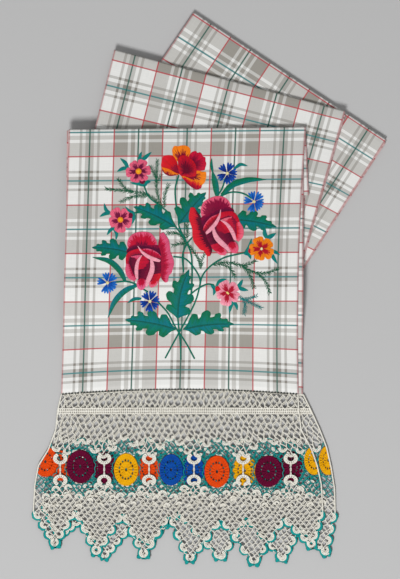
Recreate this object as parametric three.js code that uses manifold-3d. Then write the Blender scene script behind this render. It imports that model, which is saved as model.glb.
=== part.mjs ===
// A ritual towel laid out for show: one long checked cloth, doubled end to end, then folded
// back and forth into a fan of three sections, with a crocheted lace on each of its two ends.
// Millimetres, +Z up, seen from above with the lace towards -Y.
import * as THREE from "three";
import { mergeGeometries, mergeVertices } from "three/addons/utils/BufferGeometryUtils.js";
import Module from "manifold-3d";

const wasm = await Module();
wasm.setup();

// The middle of the whole outline, which stands over the origin
const outlineCentre = { x: 1.97, y: 1.16 };

// Cloth
const clothThickness = 1;
const layerPitch = 1.6; // from the middle of one layer to the middle of the next
const clothColumns = 6;
const legStep = 60; // longest step along a straight run
const bendSteps = 4;
const hemArch = 7.6; // how far the middle of a hem is drawn up
const edgeWaist = 0.03; // how far the front run's right edge bows in, as a share of half its width
const slopeTopY = 15; // the two end runs leave the stack here
const slopeFootY = -100; // and lie on the ground from here on
const swell = 1.2; // height of the soft waves on the top layers

// Lace
const laceThickness = 1.4;
const seam = 0.4; // clearance between a piece and what it is worked on to
const wheelThickness = 1.5;
const netMargin = 4; // solid yarn left around the net's gaps
const backLaceZ = 0;
const frontLaceZ = backLaceZ + laceThickness + 0.5;

// The cloth's middle line, a row for each place where it turns. Each run starts at its row and
// lies on that row's layer, counted from the top.
const turns = [
  { at: "front hem", x: -45.4, y: -165.1, width: 377, layer: 0 },
  { at: "front fold", x: -33.6, y: 254.5, width: 374, layer: 3 },
  { at: "tuck foot", x: -28.0, y: 140.7, width: 374, layer: 4 },
  { at: "tuck head", x: -30.5, y: 193.0, width: 374, layer: 5 },
  { at: "front foot", x: -38.8, y: 59.4, width: 368, layer: 6 },
  { at: "second fold", x: 33.6, y: 330.8, width: 378, layer: 9 },
  { at: "second foot", x: -27.8, y: 101.3, width: 372, layer: 10 },
  { at: "third fold", x: 129.0, y: 338.4, width: 366, layer: 13 },
  { at: "middle of the towel", x: -8.7, y: 130.6, width: 366, layer: 12 },
  { at: "inner third fold", x: 129.2, y: 334.5, width: 366, layer: 11 },
  { at: "outer second foot", x: -28.9, y: 96.8, width: 372, layer: 8 },
  { at: "inner second fold", x: 35.9, y: 327.0, width: 376, layer: 7 },
  { at: "outer front foot", x: -41.2, y: 53.0, width: 368, layer: 2 },
  { at: "inner front fold", x: -36.7, y: 248.2, width: 374, layer: 1 },
  { at: "back hem", x: -38.8, y: -166.2, width: 377, layer: 1 },
];
const layerCount = 1 + Math.max(...turns.map((turn) => turn.layer));
const stackTop = clothThickness + (layerCount - 1) * layerPitch;

// Each lace: the x of its two side edges at each y, its wheels, and the tips of its points with
// the valleys between them.
const laces = [
  {
    name: "front",
    z: frontLaceZ,
    hem: turns[0],
    sides: [
      { y: -163.8, left: -232.7, right: 141.7 },
      { y: -190.8, left: -239.0, right: 143.0 },
      { y: -222.4, left: -242.2, right: 147.0 },
      { y: -254.1, left: -254.1, right: 163.8 },
      { y: -279.4, left: -269.9, right: 172.5 },
      { y: -309.5, left: -275.4, right: 179.0 },
      { y: -352.2, left: -277.8, right: 181.3 },
      { y: -440.0, left: -262.0, right: 176.0 },
    ],
    wheels: [
      { yarn: "orange", x: -258.8, y: -273.1, width: 40, height: 50 },
      { yarn: "maroon", x: -203.4, y: -281.0, width: 44, height: 55 },
      { yarn: "yellow", x: -130.6, y: -285.7, width: 40, height: 54 },
      { yarn: "blue", x: -59.4, y: -286.0, width: 38, height: 52 },
      { yarn: "orange", x: 13.5, y: -288.9, width: 41, height: 53 },
      { yarn: "maroon", x: 95.0, y: -288.5, width: 44, height: 52 },
      { yarn: "yellow", x: 165.4, y: -271.0, width: 40, height: 50 },
    ],
    links: [-235.1, -165.4, -94.2, -23.0, 55.0, 130.5],
    tips: [
      { x: -243.8, y: -408.4 },
      { x: -178.1, y: -421.9 },
      { x: -103.2, y: -426.6 },
      { x: -30.6, y: -433.0 },
      { x: 72.8, y: -437.7 },
      { x: 165.0, y: -410.0 },
    ],
    valleys: [
      { x: -277.8, y: -352.2 },
      { x: -211.3, y: -352.2 },
      { x: -135.3, y: -357.0 },
      { x: -62.8, y: -361.7 },
      { x: 19.5, y: -366.5 },
      { x: 119.5, y: -364.9 },
      { x: 181.3, y: -352.2 },
    ],
    pointsGaps: 96,
  },
  {
    name: "back",
    z: backLaceZ,
    hem: turns[turns.length - 1],
    sides: [
      { y: -164.0, left: -226.0, right: 149.0 },
      { y: -192.3, left: -230.0, right: 162.8 },
      { y: -222.4, left: -236.0, right: 176.5 },
      { y: -250.9, left: -244.0, right: 187.6 },
      { y: -282.6, left: -256.0, right: 194.7 },
      { y: -317.4, left: -262.0, right: 200.2 },
      { y: -353.8, left: -262.0, right: 201.0 },
      { y: -440.0, left: -250.0, right: 190.0 },
    ],
    wheels: [
      { yarn: "orange", x: -235.1, y: -279.4, width: 40, height: 50 },
      { yarn: "maroon", x: -165.4, y: -282.6, width: 42, height: 52 },
      { yarn: "orange", x: -94.2, y: -285.7, width: 40, height: 46 },
      { yarn: "blue", x: -24.5, y: -287.3, width: 38, height: 50 },
      { yarn: "yellow", x: 57.8, y: -287.3, width: 40, height: 50 },
      { yarn: "maroon", x: 129.0, y: -282.0, width: 42, height: 52 },
      { yarn: "yellow", x: 186.0, y: -271.0, width: 40, height: 50 },
    ],
    links: [],
    tips: [
      { x: -238.2, y: -393.4 },
      { x: -164.6, y: -426.6 },
      { x: -92.6, y: -401.3 },
      { x: 19.5, y: -429.8 },
      { x: 117.9, y: -431.4 },
      { x: 187.6, y: -421.1 },
    ],
    valleys: [
      { x: -262.0, y: -342.7 },
      { x: -203.4, y: -368.0 },
      { x: -129.0, y: -383.9 },
      { x: -48.3, y: -355.4 },
      { x: 59.8, y: -363.3 },
      { x: 145.5, y: -379.1 },
      { x: 201.0, y: -353.8 },
    ],
    pointsGaps: 60,
  },
];

// The coloured band of wheels: its upper and lower edges swing between a wheel and the space
// between two wheels.
const bandTop = { wheel: -236, between: -262 };
const bandFoot = { wheel: -329, between: -308 };
const bandStep = 12; // along the band's edges

// The heading's two openwork rows: the middle of each and the height of its gaps
const headingRows = [
  { y: -179, height: 20 },
  { y: -214, height: 24 },
];
const headingGaps = 20; // gaps in a row
const gapBreadth = 0.72; // a gap's width as a share of the pitch
const gapSway = 1.3; // how far a gap strays up or down from its row
const pointsCell = { width: 20, height: 24 };
const pointsRows = 9;

// A link joins two neighbouring wheels: two small rings on one thick strand
const link = { y: -283.5, reach: 21, ringX: 11, ringY: 9, eyeX: 4.8, eyeY: 3.8, strand: 1.5 };
const linkThickness = 1.2;
const linkSteps = 12;

// Half of a wheel's round, hub outwards: share of the radius, share of the thickness
const wheelProfile = [
  { r: 0.12, z: 0 },
  { r: 1, z: 0 },
  { r: 0.97, z: 1 },
  { r: 0.67, z: 1 },
  { r: 0.58, z: 0.6 },
  { r: 0.49, z: 1 },
  { r: 0.12, z: 1 },
  { r: 0.12, z: 0 },
];
const wheelSteps = 14;

const yarns = {
  linen: { color: "#e9e4da", roughness: 0.9 },
  white: { color: "#efe9dd", roughness: 0.85 },
  teal: { color: "#1f8f8c", roughness: 0.8 },
  maroon: { color: "#6d0d2e", roughness: 0.8 },
  yellow: { color: "#f2b411", roughness: 0.8 },
  blue: { color: "#0f4fa8", roughness: 0.8 },
  orange: { color: "#ee5a1c", roughness: 0.8 },
};

function yarnMaterial(yarn) {
  return new THREE.MeshStandardMaterial({ ...yarns[yarn], metalness: 0, name: yarn });
}

function mixed(a, b, share) {
  return a + (b - a) * share;
}

function eased(value, from, to) {
  return THREE.MathUtils.smoothstep(value, from, to);
}

function layerZ(layer) {
  return clothThickness / 2 + (layerCount - 1 - layer) * layerPitch;
}

// Soft waves that grow with height above the lowest layer, which stays flat
function waved(point) {
  const wave = Math.sin(point.x / 61 + 0.8) * Math.cos(point.y / 74) + 0.5 * Math.sin((point.x + point.y) / 39);
  const height = (point.z - clothThickness / 2) / stackTop;
  return new THREE.Vector3(point.x, point.y, point.z + swell * wave * Math.max(height, 0));
}

// Cloth

// The direction of each run, and the direction across it with +X on its right
const runs = turns.slice(0, -1).map((turn, i) => {
  const next = turns[i + 1];
  const along = new THREE.Vector2(next.x - turn.x, next.y - turn.y);
  const length = along.length();
  along.divideScalar(length);
  const across = new THREE.Vector2(along.y, -along.x).multiplyScalar(Math.sign(along.y));
  return { along, across, length, layer: turn.layer };
});

function isHem(i) {
  return i === 0 || i === turns.length - 1;
}

// A fold's crease halves the angle between the runs on its two sides, and a hem lies level.
// side: -1 on the left edge to 1 on the right
function creasePoint(i, side) {
  const middle = new THREE.Vector2(turns[i].x, turns[i].y);
  const halfWidth = (side * turns[i].width) / 2;
  if (isHem(i)) return middle.add(new THREE.Vector2(halfWidth, 0));
  const crease = runs[i - 1].across.clone().add(runs[i].across).normalize();
  return middle.addScaledVector(crease, halfWidth / crease.dot(runs[i].across));
}

function bendRadius(i) {
  if (isHem(i)) return 0;
  return (Math.abs(runs[i].layer - runs[i - 1].layer) * layerPitch) / 2;
}

// From a crease towards the cloth that it joins
function inward(i) {
  const before = runs[Math.max(i - 1, 0)].along;
  const after = runs[Math.min(i, runs.length - 1)].along;
  if (i === 0) return after.clone();
  if (i === turns.length - 1) return before.clone().negate();
  return after.clone().sub(before).normalize();
}

// Height of a run: level on its layer, but the two end runs slope down to the ground
function runZ(i, y) {
  const level = layerZ(runs[i].layer);
  const isFront = i === 0;
  if (!isFront && i !== runs.length - 1) return level;
  const ground = isFront ? frontLaceZ + laceThickness / 2 : backLaceZ + clothThickness / 2;
  return mixed(ground, level, eased(y, slopeFootY, slopeTopY));
}

// The hem end of an end run is drawn up in its middle, and the front run's right edge bows in
function endRunShape(i, point, side, share) {
  if (i !== 0 && i !== runs.length - 1) return;
  const fromHem = i === 0 ? share : 1 - share;
  point.y += hemArch * (1 - side * side) * eased(0.4 - fromHem, 0, 0.4);
  if (i === 0 && side > 0) point.x -= turns[0].width / 2 * side * edgeWaist * Math.sin(Math.PI * share);
}

function runRows(i) {
  const count = Math.max(2, Math.ceil(runs[i].length / legStep));
  const rows = [];
  for (let k = 0; k <= count; k++) {
    const share = k / count;
    const row = [];
    for (let c = 0; c <= clothColumns; c++) {
      const side = -1 + (2 * c) / clothColumns;
      const start = creasePoint(i, side).addScaledVector(inward(i), bendRadius(i));
      const end = creasePoint(i + 1, side).addScaledVector(inward(i + 1), bendRadius(i + 1));
      const point = start.lerp(end, share);
      endRunShape(i, point, side, share);
      row.push(new THREE.Vector3(point.x, point.y, runZ(i, point.y)));
    }
    rows.push(row);
  }
  return rows;
}

// The half round between run i - 1 and run i
function bendRows(i) {
  const radius = bendRadius(i);
  const from = layerZ(runs[i - 1].layer);
  const to = layerZ(runs[i].layer);
  const rows = [];
  for (let k = 1; k < bendSteps; k++) {
    const turn = (Math.PI * k) / bendSteps;
    const row = [];
    for (let c = 0; c <= clothColumns; c++) {
      const point = creasePoint(i, -1 + (2 * c) / clothColumns);
      point.addScaledVector(inward(i), radius * (1 - Math.sin(turn)));
      row.push(new THREE.Vector3(point.x, point.y, mixed(from, to, (1 - Math.cos(turn)) / 2)));
    }
    rows.push(row);
  }
  return rows;
}

// A sheet of even thickness about a grid of points
function sheetGeometry(rows, thickness) {
  const last = rows.length - 1;
  const width = rows[0].length;
  const positions = [];
  const face = (r, c) => 2 * (r * width + c);
  const back = (r, c) => face(r, c) + 1;
  for (let r = 0; r <= last; r++) {
    for (let c = 0; c < width; c++) {
      const along = rows[Math.min(r + 1, last)][c].clone().sub(rows[Math.max(r - 1, 0)][c]);
      const across = rows[r][Math.min(c + 1, width - 1)].clone().sub(rows[r][Math.max(c - 1, 0)]);
      const normal = across.cross(along).normalize().multiplyScalar(thickness / 2);
      positions.push(...rows[r][c].clone().add(normal).toArray());
      positions.push(...rows[r][c].clone().sub(normal).toArray());
    }
  }
  const index = [];
  const quad = (a, b, c, d) => index.push(a, b, c, a, c, d);
  for (let r = 0; r < last; r++) {
    for (let c = 0; c < width - 1; c++) {
      quad(face(r, c), face(r, c + 1), face(r + 1, c + 1), face(r + 1, c));
      quad(back(r, c), back(r + 1, c), back(r + 1, c + 1), back(r, c + 1));
    }
    quad(face(r, 0), face(r + 1, 0), back(r + 1, 0), back(r, 0));
    quad(face(r + 1, width - 1), face(r, width - 1), back(r, width - 1), back(r + 1, width - 1));
  }
  for (let c = 0; c < width - 1; c++) {
    quad(back(0, c), back(0, c + 1), face(0, c + 1), face(0, c));
    quad(face(last, c), face(last, c + 1), back(last, c + 1), back(last, c));
  }
  const geometry = new THREE.BufferGeometry();
  geometry.setAttribute("position", new THREE.Float32BufferAttribute(positions, 3));
  geometry.setIndex(index);
  return geometry;
}

function clothGeometry() {
  const rows = [];
  runs.forEach((run, i) => {
    if (i > 0) rows.push(...bendRows(i));
    rows.push(...runRows(i));
  });
  return sheetGeometry(rows.map((row) => row.map(waved)), clothThickness);
}

// Lace

function sideX(lace, y, edge) {
  const rows = lace.sides;
  const next = Math.max(1, rows.findIndex((row) => row.y <= y));
  const below = y < rows[rows.length - 1].y ? rows.length - 1 : next;
  const a = rows[below - 1];
  const b = rows[below];
  return mixed(a[edge], b[edge], THREE.MathUtils.clamp((a.y - y) / (a.y - b.y), 0, 1));
}

// A share across the lace, from 0 on the left to 1 on the right, at a height y
function laceX(lace, share, y) {
  return mixed(sideX(lace, y, "left"), sideX(lace, y, "right"), share);
}

// The edge of the band of wheels at x
function bandY(lace, x, edge) {
  const centres = lace.wheels.map((wheel) => wheel.x);
  const right = THREE.MathUtils.clamp(centres.findIndex((centre) => centre > x), 1, centres.length - 1);
  const i = x > centres[centres.length - 1] ? centres.length - 1 : right;
  const phase = (x - centres[i - 1]) / (centres[i] - centres[i - 1]);
  return mixed(edge.between, edge.wheel, (1 + Math.cos(2 * Math.PI * phase)) / 2);
}

// Points along an edge of the band from left to right, moved up or down by the seam
function bandEdge(lace, edge, offset) {
  const middle = (edge.wheel + edge.between) / 2;
  const left = sideX(lace, middle, "left");
  const right = sideX(lace, middle, "right");
  const count = Math.round((right - left) / bandStep);
  const points = [];
  for (let k = 0; k <= count; k++) {
    const x = mixed(left, right, k / count);
    points.push(new THREE.Vector2(x, bandY(lace, x, edge) + offset));
  }
  return points;
}

// Points down one side edge between two heights
function sideEdge(lace, edge, fromY, toY) {
  const between = lace.sides.filter((row) => row.y < fromY - 3 && row.y > toY + 3);
  return between.map((row) => new THREE.Vector2(row[edge], row.y));
}

function hemEdge(lace) {
  const points = [];
  for (let k = 0; k <= 8; k++) {
    const side = -1 + k / 4;
    const y = lace.hem.y + hemArch * (1 - side * side) - seam;
    points.push(new THREE.Vector2(lace.hem.x + (side * lace.hem.width) / 2, y));
  }
  return points;
}

function plate(outline, z, thickness) {
  const shape = new THREE.Shape(outline);
  const geometry = new THREE.ExtrudeGeometry(shape, { depth: thickness, bevelEnabled: false, steps: 1 });
  geometry.translate(0, 0, z);
  return geometry;
}

function piercedPlate(outline, gaps, z, thickness) {
  const cutters = mergeGeometries(gaps.map((gap) => plate(gap, z - 1, thickness + 2)));
  return toGeometry(toSolid(plate(outline, z, thickness)).subtract(toSolid(cutters)));
}

function ellipse(x, y, radiusX, radiusY, steps) {
  return new THREE.EllipseCurve(x, y, radiusX, radiusY).getPoints(steps).slice(0, steps);
}

// Handwork never keeps quite to its row
function swayed(x, y) {
  return y + gapSway * Math.sin(x * 0.37 + y * 0.11);
}

function diamond(x, y, width, height) {
  return [[0, 1], [1, 0], [0, -1], [-1, 0]].map(
    ([across, up]) => new THREE.Vector2(x + (across * width) / 2, y + (up * height) / 2),
  );
}

function isInside(point, outline) {
  let inside = false;
  outline.forEach((a, i) => {
    const b = outline[(i + 1) % outline.length];
    const crosses = a.y > point.y !== b.y > point.y;
    if (crosses && point.x < mixed(a.x, b.x, (point.y - a.y) / (b.y - a.y))) inside = !inside;
  });
  return inside;
}

// A gap stays where a larger copy of it lies inside the outline, clear of its corners
function fits(x, y, width, height, outline) {
  const outer = diamond(x, y, width + 2 * netMargin, height + 2 * netMargin);
  return outer.every((corner) => isInside(corner, outline)) && !outline.some((corner) => isInside(corner, outer));
}

function headingGeometry(lace) {
  const hem = hemEdge(lace);
  const foot = bandEdge(lace, bandTop, seam / 2);
  const left = sideEdge(lace, "left", hem[0].y, foot[0].y);
  const right = sideEdge(lace, "right", hem[8].y, foot[foot.length - 1].y);
  const outline = [...hem, ...right, ...foot.reverse(), ...left.reverse()];
  const gaps = [];
  headingRows.forEach((row, rank) => {
    for (let k = 0; k < headingGaps; k++) {
      const share = (k + 0.5 + (rank % 2 ? 0.25 : 0)) / (headingGaps + 0.5);
      const x = laceX(lace, share, row.y);
      const pitch = (laceX(lace, 1, row.y) - laceX(lace, 0, row.y)) / headingGaps;
      const y = swayed(x, row.y);
      if (fits(x, y, pitch * gapBreadth - netMargin, row.height, outline)) {
        gaps.push(diamond(x, y, pitch * gapBreadth, row.height));
      }
    }
  });
  return piercedPlate(outline, gaps, lace.z, laceThickness);
}

// One flank of a point, from its valley to its tip, with two rounded fans
function flank(valley, tip) {
  const outwards = Math.sign(tip.x - valley.x);
  const steps = [
    { share: 0.2, out: -4 },
    { share: 0.42, out: -5 },
    { share: 0.52, out: 1 },
    { share: 0.72, out: -5 },
    { share: 0.92, out: -5 },
  ];
  return steps.map(
    (step) => new THREE.Vector2(
      mixed(valley.x, tip.x, step.share) + step.out * outwards,
      mixed(valley.y, tip.y, step.share),
    ),
  );
}

function pointedEdge(lace) {
  const points = [];
  lace.tips.forEach((tip, i) => {
    const before = lace.valleys[i];
    const after = lace.valleys[i + 1];
    points.push(new THREE.Vector2(before.x, before.y), ...flank(before, tip));
    points.push(new THREE.Vector2(tip.x, tip.y), ...flank(after, tip).reverse());
  });
  const end = lace.valleys[lace.valleys.length - 1];
  points.push(new THREE.Vector2(end.x, end.y));
  return points;
}

function pointsGeometry(lace) {
  const top = bandEdge(lace, bandFoot, -seam / 2);
  const edge = pointedEdge(lace);
  const outline = [...edge, ...top.reverse()];
  const gaps = [];
  for (let row = 0; row < pointsRows; row++) {
    const rowY = bandFoot.between - 8 - (row * pointsCell.height) / 2;
    const count = Math.round((laceX(lace, 1, rowY) - laceX(lace, 0, rowY)) / pointsCell.width);
    for (let k = 0; k <= count; k++) {
      const x = laceX(lace, (k + (row % 2) / 2) / count, rowY);
      const y = swayed(x, rowY);
      const width = pointsCell.width * gapBreadth;
      const height = pointsCell.height * gapBreadth;
      if (fits(x, y, width - netMargin, height - netMargin, outline)) gaps.push(diamond(x, y, width, height));
    }
  }
  // Where the net has more gaps than are cut, the ones left closed are spread evenly
  const spread = gaps.length / Math.min(gaps.length, lace.pointsGaps);
  const kept = gaps.filter((gap, i) => Math.floor(i / spread) !== Math.floor((i - 1) / spread));
  return piercedPlate(outline, kept, lace.z, laceThickness);
}

function bandOutline(lace) {
  const top = bandEdge(lace, bandTop, -seam / 2);
  const foot = bandEdge(lace, bandFoot, seam / 2);
  const left = sideEdge(lace, "left", top[0].y, foot[0].y);
  const right = sideEdge(lace, "right", top[top.length - 1].y, foot[foot.length - 1].y);
  return [...top, ...right, ...foot.reverse(), ...left.reverse()];
}

function wheelGeometry(wheel, z) {
  const profile = wheelProfile.map((point) => new THREE.Vector2(point.r, point.z * wheelThickness));
  const geometry = new THREE.LatheGeometry(profile, wheelSteps);
  geometry.rotateX(Math.PI / 2);
  geometry.scale(wheel.width / 2, wheel.height / 2, 1);
  geometry.translate(wheel.x, wheel.y, z);
  return geometry;
}

function linkGeometry(x, z) {
  const slit = Math.asin(link.strand / link.ringX);
  const ringPoints = (centreY, start) => {
    const points = [];
    for (let k = 0; k <= linkSteps; k++) {
      const turn = start + slit + ((2 * Math.PI - 2 * slit) * k) / linkSteps;
      points.push(new THREE.Vector2(x + link.ringX * Math.cos(turn), centreY + link.ringY * Math.sin(turn)));
    }
    return points;
  };
  const upperY = link.y + link.reach;
  const lowerY = link.y - link.reach;
  const outline = [...ringPoints(upperY, -Math.PI / 2), ...ringPoints(lowerY, Math.PI / 2)];
  const eyes = [upperY, lowerY].map((y) => ellipse(x, y, link.eyeX, link.eyeY, 8));
  return piercedPlate(outline, eyes, z, linkThickness);
}

// Joining and cutting

function positionsOnly(geometry) {
  const bare = geometry.index ? geometry.toNonIndexed() : geometry.clone();
  bare.deleteAttribute("normal");
  bare.deleteAttribute("uv");
  bare.clearGroups();
  return mergeVertices(bare, 1e-4);
}

// The same solid with its faces turned outwards, if its points run the other way round
function facingOut(geometry) {
  const bare = positionsOnly(geometry);
  const p = bare.attributes.position;
  const index = Array.from(bare.index.array);
  const corner = (k) => new THREE.Vector3().fromBufferAttribute(p, index[k]);
  let volume = 0;
  for (let k = 0; k < index.length; k += 3) {
    volume += corner(k).dot(corner(k + 1).cross(corner(k + 2)));
  }
  if (volume < 0) index.reverse();
  const whole = [];
  for (let k = 0; k < index.length; k += 3) {
    const [a, b, c] = index.slice(k, k + 3);
    if (a !== b && b !== c && a !== c) whole.push(a, b, c);
  }
  bare.setIndex(whole);
  return bare;
}

function toSolid(geometry) {
  const closed = facingOut(geometry);
  return new wasm.Manifold(new wasm.Mesh({
    numProp: 3,
    vertProperties: new Float32Array(closed.attributes.position.array),
    triVerts: new Uint32Array(closed.index.array),
  }));
}

function toGeometry(solid) {
  const mesh = solid.getMesh();
  const geometry = new THREE.BufferGeometry();
  geometry.setAttribute("position", new THREE.Float32BufferAttribute(mesh.vertProperties, 3));
  geometry.setIndex(Array.from(mesh.triVerts));
  return geometry;
}

// The teal ground with a seat for each wheel
function bandGeometry(lace) {
  let ground = toSolid(plate(bandOutline(lace), lace.z, laceThickness));
  lace.wheels.forEach((wheel) => {
    const seat = ellipse(wheel.x, wheel.y, wheel.width / 2 + seam, wheel.height / 2 + seam, 2 * wheelSteps);
    ground = ground.subtract(toSolid(plate(seat, lace.z - 1, laceThickness + 2)));
  });
  return toGeometry(ground);
}

// The first and last wheels are cut by the lace's side edges
function edgeWheelGeometry(lace, wheel) {
  const outline = plate(bandOutline(lace), lace.z - 1, wheelThickness + 2);
  return toGeometry(toSolid(wheelGeometry(wheel, lace.z)).intersect(toSolid(outline)));
}

// Assembly

const towel = new THREE.Group();
towel.position.set(-outlineCentre.x, -outlineCentre.y, 0);

function addPiece(name, geometry, yarn) {
  const mesh = new THREE.Mesh(facingOut(geometry), yarnMaterial(yarn));
  mesh.name = name;
  towel.add(mesh);
}

addPiece("cloth", clothGeometry(), "linen");
laces.forEach((lace) => {
  const named = (part) => `${lace.name}_${part}`;
  addPiece(named("heading"), headingGeometry(lace), "white");
  addPiece(named("ground"), bandGeometry(lace), "teal");
  lace.wheels.forEach((wheel, i) => {
    const isAtEdge = i === 0 || i === lace.wheels.length - 1;
    const geometry = isAtEdge ? edgeWheelGeometry(lace, wheel) : wheelGeometry(wheel, lace.z);
    addPiece(named(`wheel_${i + 1}`), geometry, wheel.yarn);
  });
  lace.links.forEach((x, i) => {
    addPiece(named(`link_${i + 1}`), linkGeometry(x, lace.z + laceThickness + seam), "white");
  });
  addPiece(named("points"), pointsGeometry(lace), "white");
});

export default towel;
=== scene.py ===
import math

import bpy
import numpy as np
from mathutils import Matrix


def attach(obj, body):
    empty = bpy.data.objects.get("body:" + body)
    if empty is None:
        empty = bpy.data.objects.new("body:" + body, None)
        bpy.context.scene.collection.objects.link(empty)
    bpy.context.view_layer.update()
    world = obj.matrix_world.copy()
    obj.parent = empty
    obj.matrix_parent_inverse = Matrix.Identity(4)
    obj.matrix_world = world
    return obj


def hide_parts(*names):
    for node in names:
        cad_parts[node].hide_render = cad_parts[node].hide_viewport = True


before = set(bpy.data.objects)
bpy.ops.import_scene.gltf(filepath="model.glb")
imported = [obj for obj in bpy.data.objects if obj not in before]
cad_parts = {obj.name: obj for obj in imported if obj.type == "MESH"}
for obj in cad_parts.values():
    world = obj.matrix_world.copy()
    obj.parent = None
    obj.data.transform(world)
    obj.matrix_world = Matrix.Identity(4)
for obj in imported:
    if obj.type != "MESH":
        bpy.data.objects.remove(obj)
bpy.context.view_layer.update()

# Lengths are millimetres in the part's own plan until a mesh is made
millimetre = 0.001
outlineCentre = np.array([1.97, 1.16, 0.0])
chance = np.random.default_rng(7)


def eased(value, low, high):
    share = np.clip((value - low) / (high - low), 0, 1)
    return share * share * (3 - 2 * share)


def mixed(a, b, share):
    return a + (b - a) * share


def placed(x, y, z):
    # Points from three coordinates that are spread over each other
    return np.stack(np.broadcast_arrays(x, y, z), axis=-1)


def table(columns, rows):
    # A dictionary of the named columns for each row
    return [dict(zip(columns.split(), row)) for row in rows]


# Camera and stage: straight down on a long lens
shot = {"width": 400, "height": 579, "scale": 1.583, "level": 12.0, "distance": 4000.0}
plan = {"originX": 208.5, "originY": 289.5}  # the photograph's place of the part's own origin
shotAxis = np.array([(shot["width"] / 2 - plan["originX"]) * shot["scale"], 0.0])


def fromPhoto(points, z=22.0):
    points = np.asarray(points, float)
    flat = (points - (plan["originX"], plan["originY"])) * (shot["scale"], -shot["scale"])
    return shotAxis + (flat - shotAxis) * (shot["distance"] + shot["level"] - z) / shot["distance"]


camera = bpy.data.objects.new("camera", bpy.data.cameras.new("camera"))
bpy.context.scene.collection.objects.link(camera)
camera.data.sensor_fit = "VERTICAL"
camera.data.sensor_height = 36
camera.data.lens = 36 * shot["distance"] / (shot["height"] * shot["scale"])
camera.data.clip_end = 20
camera.location = (
    (shotAxis[0] - outlineCentre[0]) * millimetre,
    -outlineCentre[1] * millimetre,
    (shot["level"] + shot["distance"]) * millimetre,
)
bpy.context.scene.camera = camera
bpy.context.scene.view_settings.view_transform = "Standard"
print("camera ready")


# Shader maths as plain expressions
class Signal:
    def __init__(self, shader, socket):
        self.shader = shader
        self.socket = socket

    def math(self, operation, *values):
        return self.shader.node("Math", {"operation": operation}, dict(enumerate(values)))[0]

    def __add__(self, other):
        return self.math("ADD", self, other)

    def __radd__(self, other):
        return self.math("ADD", other, self)

    def __sub__(self, other):
        return self.math("SUBTRACT", self, other)

    def __rsub__(self, other):
        return self.math("SUBTRACT", other, self)

    def __mul__(self, other):
        return self.math("MULTIPLY", self, other)

    def __rmul__(self, other):
        return self.math("MULTIPLY", other, self)

    def __truediv__(self, other):
        return self.math("DIVIDE", self, other)

    def __abs__(self):
        return self.math("ABSOLUTE", self)

    def floor(self):
        return self.math("FLOOR", self)

    def round(self):
        return self.math("ROUND", self)

    def sine(self):
        return self.math("SINE", self)

    def above(self, edge, soft=0.3):
        # 0 below the edge and 1 above it, over a soft step
        settings = {"interpolation_type": "SMOOTHSTEP"}
        inputs = {0: self, 1: edge - soft, 2: edge + soft, 3: 0.0, 4: 1.0}
        return self.shader.node("MapRange", settings, inputs)[0]

    def within(self, low, high, soft=0.3):
        return self.above(low, soft) * (1 - self.above(high, soft))


class Shader:
    def __init__(self, name, **surface):
        self.material = bpy.data.materials.new(name)
        self.material.use_nodes = True
        self.tree = self.material.node_tree
        self.surface = self.tree.nodes["Principled BSDF"]
        for socket, value in surface.items():
            self.join(value, self.surface.inputs[socket.replace("_", " ")])

    def join(self, value, socket):
        if isinstance(value, Signal):
            self.tree.links.new(value.socket, socket)
        else:
            socket.default_value = value

    def node(self, kind, settings=(), inputs=()):
        node = self.tree.nodes.new("ShaderNode" + kind)
        for key, value in dict(settings).items():
            setattr(node, key, value)
        for key, value in dict(inputs).items():
            self.join(value, node.inputs[key])
        return [Signal(self, socket) for socket in node.outputs]

    def mix(self, share, a, b):
        return self.node("Mix", {"data_type": "RGBA"}, {0: share, 6: a, 7: b})[2]

    def scaled(self, colour, amount):
        return self.node("VectorMath", {"operation": "SCALE"}, {0: colour, 3: amount})[0]

    def split(self, vector):
        return self.node("SeparateXYZ", inputs={0: vector})

    def map(self, name):
        return self.split(self.node("UVMap", {"uv_map": name})[0])

    def attribute(self, name):
        return self.node("Attribute", {"attribute_name": name})

    def noise(self, x, y, z=0.0, scale=1.0, detail=2.0):
        place = self.node("CombineXYZ", inputs={0: x, 1: y, 2: z})[0]
        return self.node("TexNoise", inputs={"Vector": place, "Scale": scale, "Detail": detail})[0]

    def chance(self, value):
        return self.node("TexWhiteNoise", {"noise_dimensions": "1D"}, {"W": value})[0]

    def colour(self, value):
        self.join(value, self.surface.inputs["Base Color"])

    def rough(self, value):
        self.join(value, self.surface.inputs["Roughness"])

    def bump(self, height, distance, strength=1.0):
        inputs = {"Height": height, "Distance": distance * millimetre, "Strength": strength}
        self.join(self.node("Bump", inputs=inputs)[0], self.surface.inputs["Normal"])


def tone(code):
    parts = [int(code[k : k + 2], 16) / 255 for k in (1, 3, 5)]
    return (*[p / 12.92 if p <= 0.04045 else ((p + 0.055) / 1.055) ** 2.4 for p in parts], 1.0)


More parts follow.
